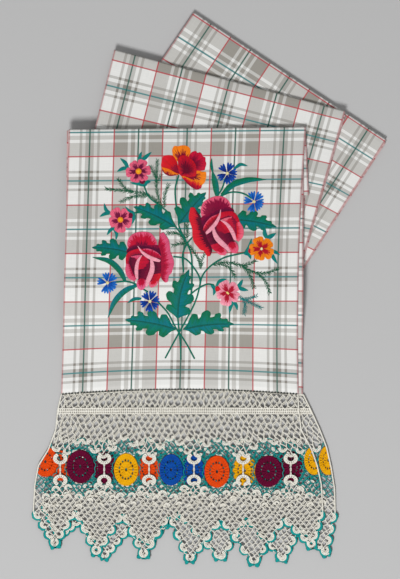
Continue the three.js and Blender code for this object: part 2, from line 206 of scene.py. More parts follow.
# Meshes
class Pile:
    # Surfaces gathered into one mesh
    def __init__(self):
        self.points = []
        self.faces = []
        self.maps = []
        self.values = {}
        self.count = 0

    def add(self, points, faces, places, **values):
        self.points.append(points.reshape(-1, 3))
        self.faces.append(faces + self.count)
        self.maps.append(places.reshape(-1, 2))
        size = len(self.points[-1])
        for key, value in values.items():
            value = np.asarray(value, float)
            self.values.setdefault(key, []).append(np.broadcast_to(value, (size, value.shape[-1])))
        self.count += size

    def build(self, name, shader, mapName="yarn"):
        points = (np.concatenate(self.points) - outlineCentre) * millimetre
        faces = np.concatenate(self.faces)
        used, faces = np.unique(faces, return_inverse=True)
        faces = faces.reshape(-1, 4)
        mesh = bpy.data.meshes.new(name)
        mesh.vertices.add(len(used))
        mesh.vertices.foreach_set("co", points[used].ravel())
        mesh.loops.add(faces.size)
        mesh.loops.foreach_set("vertex_index", faces.ravel().astype(np.int32))
        mesh.polygons.add(len(faces))
        mesh.polygons.foreach_set("loop_start", np.arange(0, faces.size, 4, dtype=np.int32))
        mesh.polygons.foreach_set("use_smooth", np.ones(len(faces), bool))
        places = mesh.uv_layers.new(name=mapName)
        places.uv.foreach_set("vector", np.concatenate(self.maps)[used][faces.ravel()].ravel())
        for key, value in self.values.items():
            value = np.concatenate(value)[used]
            kind = "FLOAT_COLOR" if value.shape[1] == 4 else "FLOAT_VECTOR"
            layer = mesh.attributes.new(key, kind, "POINT")
            layer.data.foreach_set("color" if value.shape[1] == 4 else "vector", value.ravel())
        mesh.update(calc_edges=True)
        mesh.validate()
        mesh.materials.append(shader.material)
        piece = bpy.data.objects.new(name, mesh)
        bpy.context.scene.collection.objects.link(piece)
        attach(piece, "root")
        return piece


def gridFaces(rows, columns, isRing=False):
    # Quads of a grid of points, turned upwards where rows run up and columns run right
    index = np.arange(rows * columns).reshape(rows, columns)
    if isRing:
        index = np.concatenate([index, index[:, :1]], axis=1)
    a, b = index[:-1, :-1], index[:-1, 1:]
    c, d = index[1:, 1:], index[1:, :-1]
    return np.stack([a, b, c, d], axis=-1).reshape(-1, 4)


def addTubes(pile, paths, width, height, inside=None, sides=6):
    # Tubes along paths (tubes, points, 3), kept where both ends of a step are inside. A ring's point at
    # turn a lies at middle + normal x width x cos(a) + up x height x sin(a), with the normal level.
    paths = np.asarray(paths, float)
    many, steps = paths.shape[:2]
    width = np.broadcast_to(width, (many, steps))
    height = np.broadcast_to(height, (many, steps))
    ahead = np.gradient(paths[..., :2], axis=1)
    ahead /= np.maximum(np.linalg.norm(ahead, axis=-1, keepdims=True), 1e-9)
    normal = np.stack([ahead[..., 1], -ahead[..., 0]], axis=-1)
    turn = np.arange(sides) * 2 * np.pi / sides
    points = np.empty((many, steps, sides, 3))
    spread = width[..., None] * np.cos(turn)
    points[..., :2] = paths[:, :, None, :2] + normal[:, :, None, :] * spread[..., None]
    points[..., 2] = paths[:, :, None, 2] + height[..., None] * np.sin(turn)
    gaps = np.linalg.norm(np.diff(paths, axis=1), axis=-1)
    along = np.concatenate([np.zeros((many, 1)), np.cumsum(gaps, axis=1)], axis=1)
    places = np.empty((many, steps, sides, 2))
    places[..., 0] = np.arange(sides) / sides
    places[..., 1] = along[..., None] + chance.random((many, 1, 1)) * 50
    faces = gridFaces(steps, sides, True)[:, ::-1].reshape(steps - 1, sides, 4)
    faces = faces[None] + (np.arange(many) * steps * sides)[:, None, None, None]
    if inside is not None:
        faces = faces[inside[:, :-1] & inside[:, 1:]]
    pile.add(points, faces.reshape(-1, 4), places)


def smoothCurve(points, count):
    # Evenly spaced points on a cubic between each two of the given ones, with their neighbours' slopes
    points = np.asarray(points, float)
    gaps = np.linalg.norm(np.diff(points, axis=0), axis=1)
    knots = np.concatenate([[0], np.cumsum(gaps)])
    slopes = np.gradient(points, knots, axis=0)
    where = np.linspace(0, knots[-1], count)
    left = np.clip(np.searchsorted(knots, where, side="right") - 1, 0, len(points) - 2)
    span = gaps[left][:, None]
    t = (where - knots[left])[:, None] / span
    a, b = points[left], points[left + 1]
    slopeA, slopeB = slopes[left] * span, slopes[left + 1] * span
    return (
        (2 * t**3 - 3 * t**2 + 1) * a
        + (t**3 - 2 * t**2 + t) * slopeA
        + (3 * t**2 - 2 * t**3) * b
        + (t**3 - t**2) * slopeB
    )


# Cloth: one long sheet, folded at a row of turns, its layers counted from the top
cloth = {
    "thickness": 0.9,
    "levelThickness": 1.0,
    "pitch": 1.6,
    "columns": 72,
    "step": 8.0,
    "bendSteps": 8,
    "hemArch": 7.6,
    "edgeWaist": 0.03,
    "slopeTop": 15.0,
    "slopeFoot": -100.0,
    "swell": 1.2,
    "cutWidth": 375.0,
}
turns = table("x y width layer", [
    (-45.4, -165.1, 377, 0),
    (-33.6, 254.5, 374, 3),
    (-28.0, 140.7, 374, 4),
    (-30.5, 193.0, 374, 5),
    (-38.8, 59.4, 368, 6),
    (33.6, 330.8, 378, 9),
    (-27.8, 101.3, 372, 10),
    (129.0, 338.4, 366, 13),
    (-8.7, 130.6, 366, 12),
    (129.2, 334.5, 366, 11),
    (-28.9, 96.8, 372, 8),
    (35.9, 327.0, 376, 7),
    (-41.2, 53.0, 368, 2),
    (-36.7, 248.2, 374, 1),
    (-38.8, -166.2, 377, 1),
])
lowestLayer = max(turn["layer"] for turn in turns)
stackTop = cloth["levelThickness"] + lowestLayer * cloth["pitch"]
laceThickness = 1.4
frontLaceZ = laceThickness + 0.5

turnMiddles = np.array([(turn["x"], turn["y"]) for turn in turns])
runLengths = np.linalg.norm(np.diff(turnMiddles, axis=0), axis=1)
runAlong = np.diff(turnMiddles, axis=0) / runLengths[:, None]
runAcross = np.stack([runAlong[:, 1], -runAlong[:, 0]], axis=1) * np.sign(runAlong[:, 1:])
lastTurn = len(turns) - 1


def layerZ(layer):
    return cloth["levelThickness"] / 2 + (lowestLayer - layer) * cloth["pitch"]


def waved(x, y, z):
    # Soft waves that grow with height above the lowest layer
    wave = np.sin(x / 61 + 0.8) * np.cos(y / 74) + 0.5 * np.sin((x + y) / 39)
    fine = 0.35 * np.sin(x / 17 + y / 63) + 0.25 * np.sin(y / 13 - x / 48)
    height = (z - cloth["levelThickness"] / 2) / stackTop
    return z + (cloth["swell"] * wave + 0.4 * fine) * np.maximum(height, 0)


def creasePoints(i, side):
    # A crease halves the angle between its two runs
    halfWidth = side * turns[i]["width"] / 2
    if i in (0, lastTurn):
        return turnMiddles[i] + np.outer(halfWidth, (1, 0))
    crease = runAcross[i - 1] + runAcross[i]
    crease /= np.linalg.norm(crease)
    return turnMiddles[i] + np.outer(halfWidth / (crease @ runAcross[i]), crease)


def bendRadius(i):
    if i in (0, lastTurn):
        return 0.0
    return abs(turns[i]["layer"] - turns[i - 1]["layer"]) * cloth["pitch"] / 2


def inward(i):
    # The way from a crease back over the cloth
    if i == 0:
        return runAlong[0]
    if i == lastTurn:
        return -runAlong[-1]
    towards = runAlong[i] - runAlong[i - 1]
    return towards / np.linalg.norm(towards)


def runHeight(i, y):
    # Level at its layer; an end run eases down to the lace under it
    level = layerZ(turns[i]["layer"])
    if 0 < i < lastTurn - 1:
        return np.full_like(y, level)
    ground = frontLaceZ + laceThickness / 2 if i == 0 else cloth["levelThickness"] / 2
    return mixed(ground, level, eased(y, cloth["slopeFoot"], cloth["slopeTop"]))


def runRows(i, side, share):
    # Straight from crease to crease; a hem is drawn up by 1 - side squared, and the front run's right
    # edge is bowed in by a half sine
    start = creasePoints(i, side) + inward(i) * bendRadius(i)
    end = creasePoints(i + 1, side) + inward(i + 1) * bendRadius(i + 1)
    rows = mixed(start[None], end[None], share[:, None, None])
    if i in (0, lastTurn - 1):
        fromHem = share if i == 0 else 1 - share
        rows[..., 1] += cloth["hemArch"] * (1 - side**2) * eased(0.4 - fromHem, 0, 0.4)[:, None]
    if i == 0:
        bow = turns[0]["width"] / 2 * np.maximum(side, 0) * cloth["edgeWaist"]
        rows[..., 0] -= bow * np.sin(np.pi * share)[:, None]
    return np.concatenate([rows, runHeight(i, rows[..., 1])[..., None]], axis=-1)


def bendRows(i, side, share):
    # Half a turn: radius x (1 - sine) in the plan, and a cosine from layer to layer in height
    radius = bendRadius(i)
    points = creasePoints(i, side)[None] + (inward(i) * radius) * (1 - np.sin(np.pi * share))[:, None, None]
    start, end = layerZ(turns[i - 1]["layer"]), layerZ(turns[i]["layer"])
    heights = mixed(start, end, (1 - np.cos(np.pi * share)) / 2)
    return np.concatenate([points, np.broadcast_to(heights[:, None, None], (*points.shape[:2], 1))], axis=-1)


def clothGrid():
    # Runs and bends one after another, with the distance travelled along the cloth
    side = np.linspace(-1, 1, cloth["columns"] + 1)
    rows, distances = [], []
    travelled = 0.0
    for i in range(lastTurn):
        if i > 0:
            share = np.arange(1, cloth["bendSteps"]) / cloth["bendSteps"]
            rows.append(bendRows(i, side, share))
            distances.append(travelled + share * math.pi * bendRadius(i))
            travelled += math.pi * bendRadius(i)
        straight = runLengths[i] - bendRadius(i) - bendRadius(i + 1)
        share = np.linspace(0, 1, max(2, math.ceil(straight / cloth["step"])) + 1)
        rows.append(runRows(i, side, share))
        distances.append(travelled + share * straight)
        travelled += straight
    return side, np.concatenate(rows), np.concatenate(distances)


def addSlab(pile, grid, across, along, thickness):
    # A sheet: the grid moved half the thickness each way along its normals, closed at its edges
    rows, columns = grid.shape[:2]
    normal = np.cross(np.gradient(grid, axis=1), np.gradient(grid, axis=0))
    normal *= thickness / 2 / np.linalg.norm(normal, axis=-1, keepdims=True)
    both = np.stack([grid + normal, grid - normal])
    size = rows * columns
    upper = gridFaces(rows, columns)
    lower = upper[:, ::-1] + size
    index = np.arange(size).reshape(rows, columns)
    rim = np.concatenate([index[0], index[1:, -1], index[-1, -2::-1], index[-2::-1, 0]])
    wall = np.stack([rim[:-1], rim[:-1] + size, rim[1:] + size, rim[1:]], axis=-1)
    places = np.empty((2, rows, columns, 2))
    places[..., 0] = across[None, None]
    places[..., 1] = along[None, :, None]
    pile.add(both, np.concatenate([upper, lower, wall]), places)


side, grid, travelled = clothGrid()
grid[..., 2] = waved(grid[..., 0], grid[..., 1], grid[..., 2])
clothPile = Pile()
addSlab(clothPile, grid, (side + 1) / 2 * cloth["cutWidth"], travelled, cloth["thickness"])
print("cloth grid", grid.shape, "length", round(travelled[-1]))


def topZ(x, y):
    # The upper face of the front run
    return waved(x, y, runHeight(0, y)) + cloth["thickness"] / 2


# The check: blocks of one pitch with a line at each block's middle and a red line between blocks.
# A band is given as distances from the block's middle.
sett = {
    "pitch": 76.8,
    "firstMiddle": 30.9,  # from the hem
    "line": 1.2,
    "border": 37.35,
    "selvage": 2.2,
    "narrow": [(1.2, 6.7), (12.0, 16.0)],  # on white blocks
    "wide": [(5.1, 11.7), (16.5, 38.5)],  # on grey blocks
    "thread": 0.9,
}


def yarnBands(place):
    # Shares of narrow stripe, wide stripe, middle line and red line in the threads across a place
    block = (place / sett["pitch"]).round()
    distance = abs(place - block * sett["pitch"])
    half = abs(block) * 0.5
    isGrey = (half - half.floor()) * 2
    narrow = sum(distance.within(low, high) for low, high in sett["narrow"]) * (1 - isGrey)
    wide = sum(distance.within(low, high) for low, high in sett["wide"]) * isGrey
    return narrow, wide, 1 - distance.above(sett["line"]), distance.above(sett["border"])


def clothShader():
    shader = Shader("checked_linen", Roughness=0.92, Sheen_Weight=0.25, Sheen_Roughness=0.5)
    across, along = shader.map("cloth")[:2]
    fromMiddle = across - cloth["cutWidth"] / 2
    warpNarrow, warpWide, warpLine, warpRed = yarnBands(fromMiddle)
    weftNarrow, weftWide, weftLine, weftRed = yarnBands(along - sett["firstMiddle"])
    selvage = abs(fromMiddle).above(cloth["cutWidth"] / 2 - sett["selvage"])
    thread = math.pi / sett["thread"]
    weave = (across * thread).sine() * (along * thread).sine()  # 1 where the warp is on top
    warpShare = 0.5 + weave * 0.16
    slub = shader.noise(across * 1.1, along * 0.035) * 0.5
    slub = slub + shader.noise(across * 0.04, along * 1.1, 3.0) * 0.5
    wide = warpWide * warpShare + weftWide * (1 - warpShare)
    narrow = warpNarrow * (warpShare + 0.04) + weftNarrow * (1.04 - warpShare)
    ground = shader.mix(wide, tone("#e9e9e6"), tone("#9c9890"))
    ground = shader.mix(narrow * 0.84, ground, tone("#7b756c"))
    ground = shader.mix(weftLine * 0.9, ground, tone("#1f7a7c"))
    ground = shader.mix(warpLine * 0.92, ground, tone("#21584a"))
    ground = shader.mix(weftRed * 0.85, ground, tone("#b8323e"))
    ground = shader.mix(warpRed * 0.85, ground, tone("#b8323e"))
    ground = shader.mix(selvage * 0.5, ground, tone("#b8323e"))
    shader.colour(shader.scaled(ground, 0.86 + slub * 0.28))
    shader.bump(weave * 0.5 + slub * 1.2, 0.25, 0.5)
    return shader


towel = clothPile.build("towel_cloth", clothShader(), "cloth")
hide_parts("cloth")
print("cloth ready")


# Lace: two crocheted ends, the front one lying over the back one
laces = [
    {
        "name": "front",
        "z": frontLaceZ,
        "shift": (0.0, 0.0),
        "hem": turns[0],
        "sideY": [-163.8, -190.8, -222.4, -254.1, -279.4, -309.5, -352.2, -440.0],
        "left": [-232.7, -239.0, -242.2, -254.1, -269.9, -275.4, -277.8, -262.0],
        "right": [141.7, 143.0, 147.0, 163.8, 172.5, 179.0, 181.3, 176.0],
        "wheels": table("yarn x y width height", [
            ("orange", -258.8, -273.1, 40, 50),
            ("maroon", -203.4, -281.0, 44, 55),
            ("yellow", -130.6, -285.7, 40, 54),
            ("blue", -59.4, -286.0, 38, 52),
            ("orange", 13.5, -288.9, 41, 53),
            ("maroon", 95.0, -288.5, 44, 52),
            ("yellow", 168.0, -271.0, 33, 48),
        ]),
        "links": [-235.1, -165.4, -94.2, -23.0, 55.0, 130.5],
        "tips": [
            (-243.8, -408.4), (-178.1, -421.9), (-103.2, -426.6), (-30.6, -433), (72.8, -437.7),
            (165, -410),
        ],
        "valleys": [
            (-277.8, -352.2), (-211.3, -352.2), (-135.3, -357), (-62.8, -361.7), (19.5, -366.5),
            (119.5, -364.9), (181.3, -352.2),
        ],
    },
    {
        "name": "back",
        "z": 0.0,
        "shift": (1.5, -1.4),
        "hem": turns[lastTurn],
        "sideY": [-164.0, -192.3, -222.4, -250.9, -282.6, -317.4, -353.8, -440.0],
        "left": [-226.0, -230.0, -236.0, -244.0, -256.0, -262.0, -262.0, -250.0],
        "right": [149.0, 162.8, 176.5, 187.6, 194.7, 200.2, 201.0, 190.0],
        "wheels": table("yarn x y width height", [
            ("orange", -235.1, -279.4, 40, 50),
            ("maroon", -165.4, -282.6, 42, 52),
            ("orange", -94.2, -285.7, 40, 46),
            ("blue", -24.5, -287.3, 38, 50),
            ("yellow", 57.8, -287.3, 40, 50),
            ("maroon", 129.0, -282.0, 42, 52),
            ("yellow", 190.0, -271.0, 30, 49),
        ]),
        "links": [],
        "tips": [
            (-238.2, -393.4), (-164.6, -426.6), (-92.6, -401.3), (19.5, -429.8), (117.9, -431.4),
            (187.6, -421.1),
        ],
        "valleys": [
            (-262, -342.7), (-203.4, -368), (-129, -383.9), (-48.3, -355.4), (59.8, -363.3),
            (145.5, -379.1), (201, -353.8),
        ],
    },
]
bandTop = {"wheel": -236.0, "between": -262.0}
bandFoot = {"wheel": -329.0, "between": -308.0}
heading = {
    "netTop": -166.8,
    "denseTop": -189.0,
    "denseFoot": -197.0,
    "columns": 42,
    "upperCell": 7.4,
    "lowerCell": 8.6,
    "strand": 0.86,
    "hemPosts": 84,
    "densePosts": 128,
    "darkMarks": 78,
    "shells": 27,
}
pointNet = {"columns": 50, "halfCell": 5.8, "strand": 0.84}
bandNet = {"columns": 46, "halfCell": 6.0, "strand": 0.8}
shell = {"radius": 6.6, "posts": 7}
link = {"y": -285.3, "reach": 17.5, "radiusX": 10.6, "radiusY": 8.6, "clearX": 14, "clearY": 23}
wheelRings = table("posts from to fill", [
    (12, 0.14, 0.5, 1.25),
    (15, 0.46, 0.68, 0.48),  # short posts, which leave small holes
    (30, 0.64, 0.97, 1.25),
])
wheelBars = [(0.14, 0.05), (0.48, 0.035), (0.66, 0.035), (0.97, 0.05)]  # place and half width, as shares


def sideX(lace, y, edge):
    return np.interp(-np.asarray(y, float), -np.array(lace["sideY"]), lace[edge])


def laceX(lace, share, y):
    return mixed(sideX(lace, y, "left"), sideX(lace, y, "right"), share)


def withinSides(lace, x, y, margin=0.0):
    return (x > sideX(lace, y, "left") + margin) & (x < sideX(lace, y, "right") - margin)


def bandY(lace, x, edge):
    # The band's edge is a cosine between each two wheels
    centres = np.array([wheel["x"] for wheel in lace["wheels"]])
    i = np.clip(np.searchsorted(centres, x), 1, len(centres) - 1)
    phase = (x - centres[i - 1]) / (centres[i] - centres[i - 1])
    return mixed(edge["between"], edge["wheel"], (1 + np.cos(2 * np.pi * phase)) / 2)


def archedY(lace, share, y):
    # The heading follows the drawn-up hem and is straight at the dense row's foot
    rise = cloth["hemArch"] * (1 - (2 * share - 1) ** 2)
    return y + rise * eased(y, heading["denseFoot"], lace["hem"]["y"])


def lacePath(lace, share, y, rise):
    return placed(laceX(lace, share, y), archedY(lace, share, y), lace["z"] + rise)


def handSway(x, y):
    # Handwork never keeps quite to its rows
    swayX = 0.7 * np.sin(x * 0.53 + y * 0.21) + 0.7 * np.sin(y * 0.31 - x * 0.17)
    swayY = 0.7 * np.sin(y * 0.47 - x * 0.13 + 1.0) + 1.3 * np.sin(x * 0.19 + y * 0.1)
    return swayX + 1.1 * np.sin(x * 0.071 + y * 0.12), swayY + 1.5 * np.sin(x * 0.047)


def isInside(x, y, outline):
    # Inside where a line to the right crosses the outline an odd number of times
    inside = np.zeros(x.shape, bool)
    for (ax, ay), (bx, by) in zip(outline, np.roll(outline, -1, axis=0)):
        if ay != by:
            crosses = (ay > y) != (by > y)
            inside ^= crosses & (x < ax + (bx - ax) * (y - ay) / (by - ay))
    return inside


def netPaths(columns, top, foot, halfCell, z):
    # Neighbouring strands swing to and fro and meet at each half cell
    steps = int((top - foot) / halfCell * 4) + 1
    y = np.linspace(top, foot, steps)[None]
    strand = np.arange(-8, 2 * columns + 20)[:, None]
    phase = (top - y) / halfCell
    swing = np.clip(1.35 * 2 / np.pi * np.arcsin(0.999 * np.cos(np.pi * phase)), -1, 1)
    turn = 1 - 2 * (strand % 2)
    share = strand / (2 * columns) + turn * swing * 0.25 / columns
    lift = z + 0.3 * turn * np.sin(np.pi * phase / 2 + strand * 0.9)
    return share, np.broadcast_to(y, share.shape), lift


def addNet(pile, lace, columns, top, foot, halfCell, strand, isKept=None):
    # Both laces use the front one's columns, so that their gaps fall together
    share, y, z = netPaths(columns, top, foot, halfCell, lace["z"] + 0.9)
    x = laceX(laces[0], share, y)
    y = archedY(lace, np.clip(share, 0, 1), y)
    swayX, swayY = handSway(x, y)
    x, y = x + swayX + lace["shift"][0], y + swayY + lace["shift"][1]
    inside = withinSides(lace, x, y, 0.6)
    if isKept:
        inside &= isKept(x, y)
    addTubes(pile, placed(x, y, z + 0.1), strand, strand, inside)


def addShells(pile, centres, angles, radii, z, reach=1.5):
    # Each shell is a fan of posts, wider outwards, on a bar that curls round its rim
    centres, angles, radii = np.asarray(centres), np.asarray(angles), np.asarray(radii)
    posts = shell["posts"]
    turn = angles[:, None] + np.linspace(-reach, reach, posts)[None]
    distance = radii[:, None, None] * np.linspace(0.4, 1.0, 5)
    x = centres[:, 0, None, None] + np.cos(turn)[..., None] * distance
    y = centres[:, 1, None, None] + np.sin(turn)[..., None] * distance
    width = np.broadcast_to(distance * (reach / posts) * 1.05 + 0.15, x.shape).reshape(-1, 5)
    addTubes(pile, placed(x, y, z).reshape(-1, 5, 3), width, 0.8)
    turn = angles[:, None] + np.linspace(-reach - 0.1, reach + 0.1, 13)[None]
    rim = radii[:, None] * 0.98
    x = centres[:, 0, None] + np.cos(turn) * rim
    y = centres[:, 1, None] + np.sin(turn) * rim
    addTubes(pile, placed(x, y, z), 0.95, 0.85)


def addPosts(pile, lace, count, top, foot, halfWidth):
    # Upright tubes at even shares of the lace's width
    share = (np.arange(count)[:, None] + 0.5) / count
    waist = halfWidth * (1 - 0.25 * chance.random((count, 1)))
    addTubes(pile, lacePath(lace, share, np.linspace(top, foot, 4), 0.8), waist, 0.7)


def addChain(pile, lace, y, halfWidth):
    # A tube across the lace whose half width swells as 1 + 0.18 x sin(2.2 x)
    path = lacePath(lace, np.linspace(0, 1, 220)[None], y, 0.8)
    addTubes(pile, path, halfWidth * (1 + 0.18 * np.sin(path[..., 0] * 2.2)), 0.8)


def addDarkMarks(pile, lace):
    # One short dark mark between each two posts under the hem
    share = (np.arange(heading["darkMarks"])[:, None] + 0.5) / heading["darkMarks"]
    y = np.linspace(lace["hem"]["y"] + 0.4, lace["hem"]["y"] - 2.2, 4)
    addTubes(pile, lacePath(lace, share, y, 1.9), np.array([0.5, 1.15, 1.15, 0.5]), 0.35)


def headingPile(lace):
    # Posts under the hem, a net, a dense row and a taller net that ends in shells over the band
    pile = Pile()
    hemY, columns, strand = lace["hem"]["y"], heading["columns"], heading["strand"]
    addChain(pile, lace, hemY - 1.6, 1.2)
    addPosts(pile, lace, heading["hemPosts"], hemY - 2, heading["netTop"], 1.35)
    addChain(pile, lace, heading["netTop"], 1.1)
    addNet(pile, lace, columns, heading["netTop"], heading["denseTop"], heading["upperCell"], strand)
    rows = np.linspace(heading["denseTop"], heading["denseFoot"], 3)
    for row in rows:
        addChain(pile, lace, row, 1.1)
    for top, foot in zip(rows[:-1], rows[1:]):
        addPosts(pile, lace, heading["densePosts"], top, foot, 1.3)

    def aboveBand(x, y):
        return y > bandY(lace, x, bandTop) - 1

    foot = bandTop["between"] - 4
    addNet(pile, lace, columns, heading["denseFoot"], foot, heading["lowerCell"], strand, aboveBand)
    count = heading["shells"]
    x = laceX(lace, np.linspace(0.045, 0.955, count), bandTop["between"])
    x = x + chance.uniform(-2, 2, count)
    y = bandY(lace, x, bandTop) + 2 + chance.uniform(-2, 2, count)
    angles = -math.pi / 2 + chance.uniform(-0.35, 0.35, count)
    addShells(pile, np.stack([x, y], axis=-1), angles, chance.uniform(5.8, 7.4, count), lace["z"] + 1.5)
    return pile


def edgeCord(lace, edge, foot):
    y = np.linspace(lace["hem"]["y"] - 1, foot, 60)[None]
    return placed(sideX(lace, y, edge), y, lace["z"] + 1.0)


def flankShells(lace):
    # Centre, outward angle and radius of each shell down one flank of each point and up the other,
    # and 1 for the lowest ones
    rows = []
    for i, tip in enumerate(lace["tips"]):
        tip = np.array(tip)
        for valley, way in ((lace["valleys"][i], 1), (lace["valleys"][i + 1], -1)):
            along = tip - np.array(valley)
            length = np.linalg.norm(along)
            along = along / length
            out = np.array([along[1], -along[0]]) * way
            for share in (0.12, 0.4, 0.67, 0.9)[::way]:
                centre = np.array(valley) + along * length * share - out * 4.0
                rows.append((*centre, math.atan2(out[1], out[0]), shell["radius"], share > 0.8))
    return np.array(rows)


def pointsOutline(lace):
    rows = flankShells(lace)
    edge = rows[:, :2] + 5.0 * np.stack([np.cos(rows[:, 2]), np.sin(rows[:, 2])], axis=-1)
    left, right = lace["valleys"][0], lace["valleys"][-1]
    x = np.linspace(right[0], left[0], 90)
    top = np.stack([x, bandY(lace, x, bandFoot)], axis=-1)
    return np.concatenate([edge, top])


def pointsPile(lace):
    # A net cut to the points, with shells along their flanks and in two rows under the band
    pile = Pile()
    outline = pointsOutline(lace)

    def isPoint(x, y):
        return isInside(x, y, outline)

    top, foot = bandFoot["between"] + 2, min(tip[1] for tip in lace["tips"])
    addNet(pile, lace, pointNet["columns"], top, foot, pointNet["halfCell"], pointNet["strand"], isPoint)
    rows = flankShells(lace)
    angles = rows[:, 2] + chance.uniform(-0.3, 0.3, len(rows))
    radii = rows[:, 3] * chance.uniform(0.85, 1.1, len(rows))
    addShells(pile, rows[:, :2], angles, radii, lace["z"] + 1.3)
    for count, drop, size in ((26, 2.0, 6.2), (25, 16.0, 4.6)):
        x = laceX(lace, np.linspace(0.04, 0.96, count), bandFoot["between"]) + chance.uniform(-2, 2, count)
        y = bandY(lace, x, bandFoot) - drop + chance.uniform(-2, 2, count)
        angles = math.pi / 2 + chance.uniform(-0.4, 0.4, count)
        radii = size * chance.uniform(0.85, 1.15, count)
        addShells(pile, np.stack([x, y], axis=-1), angles, radii, lace["z"] + 1.4)
    return pile


def trimPile(lace):
    # A cord runs round every shell of the points, and a small picot stands at the lowest ones
    pile = Pile()
    rows = flankShells(lace)
    spread = np.linspace(-1.35, 1.35, 9)
    reach = rows[:, 3] + 1.7
    turn = rows[:, 2, None] + spread[None]
    x = rows[:, 0, None] + np.cos(turn) * reach[:, None]
    y = rows[:, 1, None] + np.sin(turn) * reach[:, None]
    path = placed(x, y, lace["z"] + 0.9).reshape(1, -1, 3)
    width = np.tile(1.3 + 1.2 * np.cos(spread), len(rows)) * chance.uniform(0.7, 1.25, path.shape[1])
    addTubes(pile, path, width[None], 0.9)
    low = rows[rows[:, 4] > 0]
    angle = mixed(low[:, 2], -math.pi / 2, 0.4) + chance.uniform(-0.25, 0.25, len(low))
    out = np.linspace(6.0, 13.5, 7)[None]
    x = low[:, 0, None] + np.cos(angle)[:, None] * out
    y = low[:, 1, None] + np.sin(angle)[:, None] * out
    width = np.array([1.4, 2.6, 3.4, 3.7, 3.4, 2.4, 0.6])[None] * chance.uniform(0.8, 1.15, (len(low), 1))
    addTubes(pile, placed(x, y, lace["z"] + 1.0), width, 0.85)
    return pile


def isClear(x, y, centre, reachX, reachY):
    # Outside an ellipse
    return ((x - centre[0]) / reachX) ** 2 + ((y - centre[1]) / reachY) ** 2 > 1


def bandPile(lace):
    # The teal net, clear of the wheels and the links, and a rippled cord round each wheel
    pile = Pile()

    def isBand(x, y):
        kept = (y < bandY(lace, x, bandTop) + 2) & (y > bandY(lace, x, bandFoot) - 2)
        for middle in lace["links"]:
            kept &= isClear(x, y, (middle, link["y"]), link["clearX"], link["clearY"])
        for wheel in lace["wheels"]:
            place = (wheel["x"], wheel["y"])
            kept &= isClear(x, y, place, wheel["width"] / 2 + 1.0, wheel["height"] / 2 + 1.0)
        return kept

    top, foot = bandTop["wheel"] + 2, bandFoot["wheel"] - 2
    addNet(pile, lace, bandNet["columns"], top, foot, bandNet["halfCell"], bandNet["strand"], isBand)
    turn = np.linspace(0, 2 * np.pi, 97)
    ripple = 1.8 + 1.1 * np.sin(turn * 16)
    paths = []
    for wheel in lace["wheels"]:
        x = wheel["x"] + (wheel["width"] / 2 + ripple) * np.cos(turn)
        y = wheel["y"] + (wheel["height"] / 2 + ripple) * np.sin(turn)
        paths.append(placed(x, y, lace["z"] + 1.1))
    paths = np.array(paths)
    addTubes(pile, paths, 0.75, 0.7, withinSides(lace, paths[..., 0], paths[..., 1]), 5)
    return pile


def addWheel(pile, lace, wheel):
    # Rings of posts from the hub outwards, with round bars between them
    radius = np.array([wheel["width"] / 2, wheel["height"] / 2]) * 0.95

    def addSpun(turn, out, width, height):
        x = wheel["x"] + radius[0] * np.cos(turn) * out
        y = wheel["y"] + radius[1] * np.sin(turn) * out
        addTubes(pile, placed(x, y, lace["z"] + 0.85), width, height, withinSides(lace, x, y, 1))

    for ring in wheelRings:
        turn = (np.arange(ring["posts"]) + 0.5) * 2 * np.pi / ring["posts"]
        out = np.linspace(ring["from"], ring["to"], 5)
        addSpun(turn[:, None], out, radius.mean() * out * np.pi / ring["posts"] * ring["fill"], 0.7)
    turn = np.linspace(0, 2 * np.pi, 61)
    for share, half in wheelBars:
        addSpun(turn[None], share, radius.mean() * half, 0.85)


def linkPile(lace):
    # Two horseshoes back to back, each a bent row of posts, joined by a cord of two strands
    pile = Pile()
    z = lace["z"] + laceThickness + 1.0
    middle = np.array(lace["links"])[:, None, None]
    for way in (1, -1):
        turn = (np.linspace(-2.5, 2.5, 13) - way * math.pi / 2)[None, :, None]
        out = np.linspace(0.5, 1.0, 4)
        x = middle + link["radiusX"] * np.cos(turn) * out
        y = link["y"] + way * link["reach"] + link["radiusY"] * np.sin(turn) * out
        width = np.broadcast_to(2.1 * out, x.shape).reshape(-1, 4)
        addTubes(pile, placed(x, y, z).reshape(-1, 4, 3), width, 0.85)
        turn = np.linspace(-2.6, 2.6, 25)[None] - way * math.pi / 2
        x = middle[:, :, 0] + link["radiusX"] * np.cos(turn)
        y = link["y"] + way * link["reach"] + link["radiusY"] * np.sin(turn)
        addTubes(pile, placed(x, y, z), 0.95, 0.9)
    y = np.linspace(link["reach"] * 0.6, -link["reach"] * 0.6, 12)[None]
    for shift in (-0.9, 0.9):
        addTubes(pile, placed(middle[:, :, 0] + shift * np.cos(y * 0.4), link["y"] + y, z), 0.75, 0.7)
    return pile


# Yarn colours: the body of the yarn and its shaded side
yarns = {
    "white": ("#f7f5ec", "#dcd6c6"),
    "teal": ("#1aa59f", "#0b7a7c"),
    "maroon": ("#6e0334", "#45021f"),
    "yellow": ("#f7b80a", "#cf8a04"),
    "blue": ("#0a55b4", "#06357c"),
    "orange": ("#f4520f", "#bf3408"),
    "dark": ("#3c4640", "#262c28"),
}


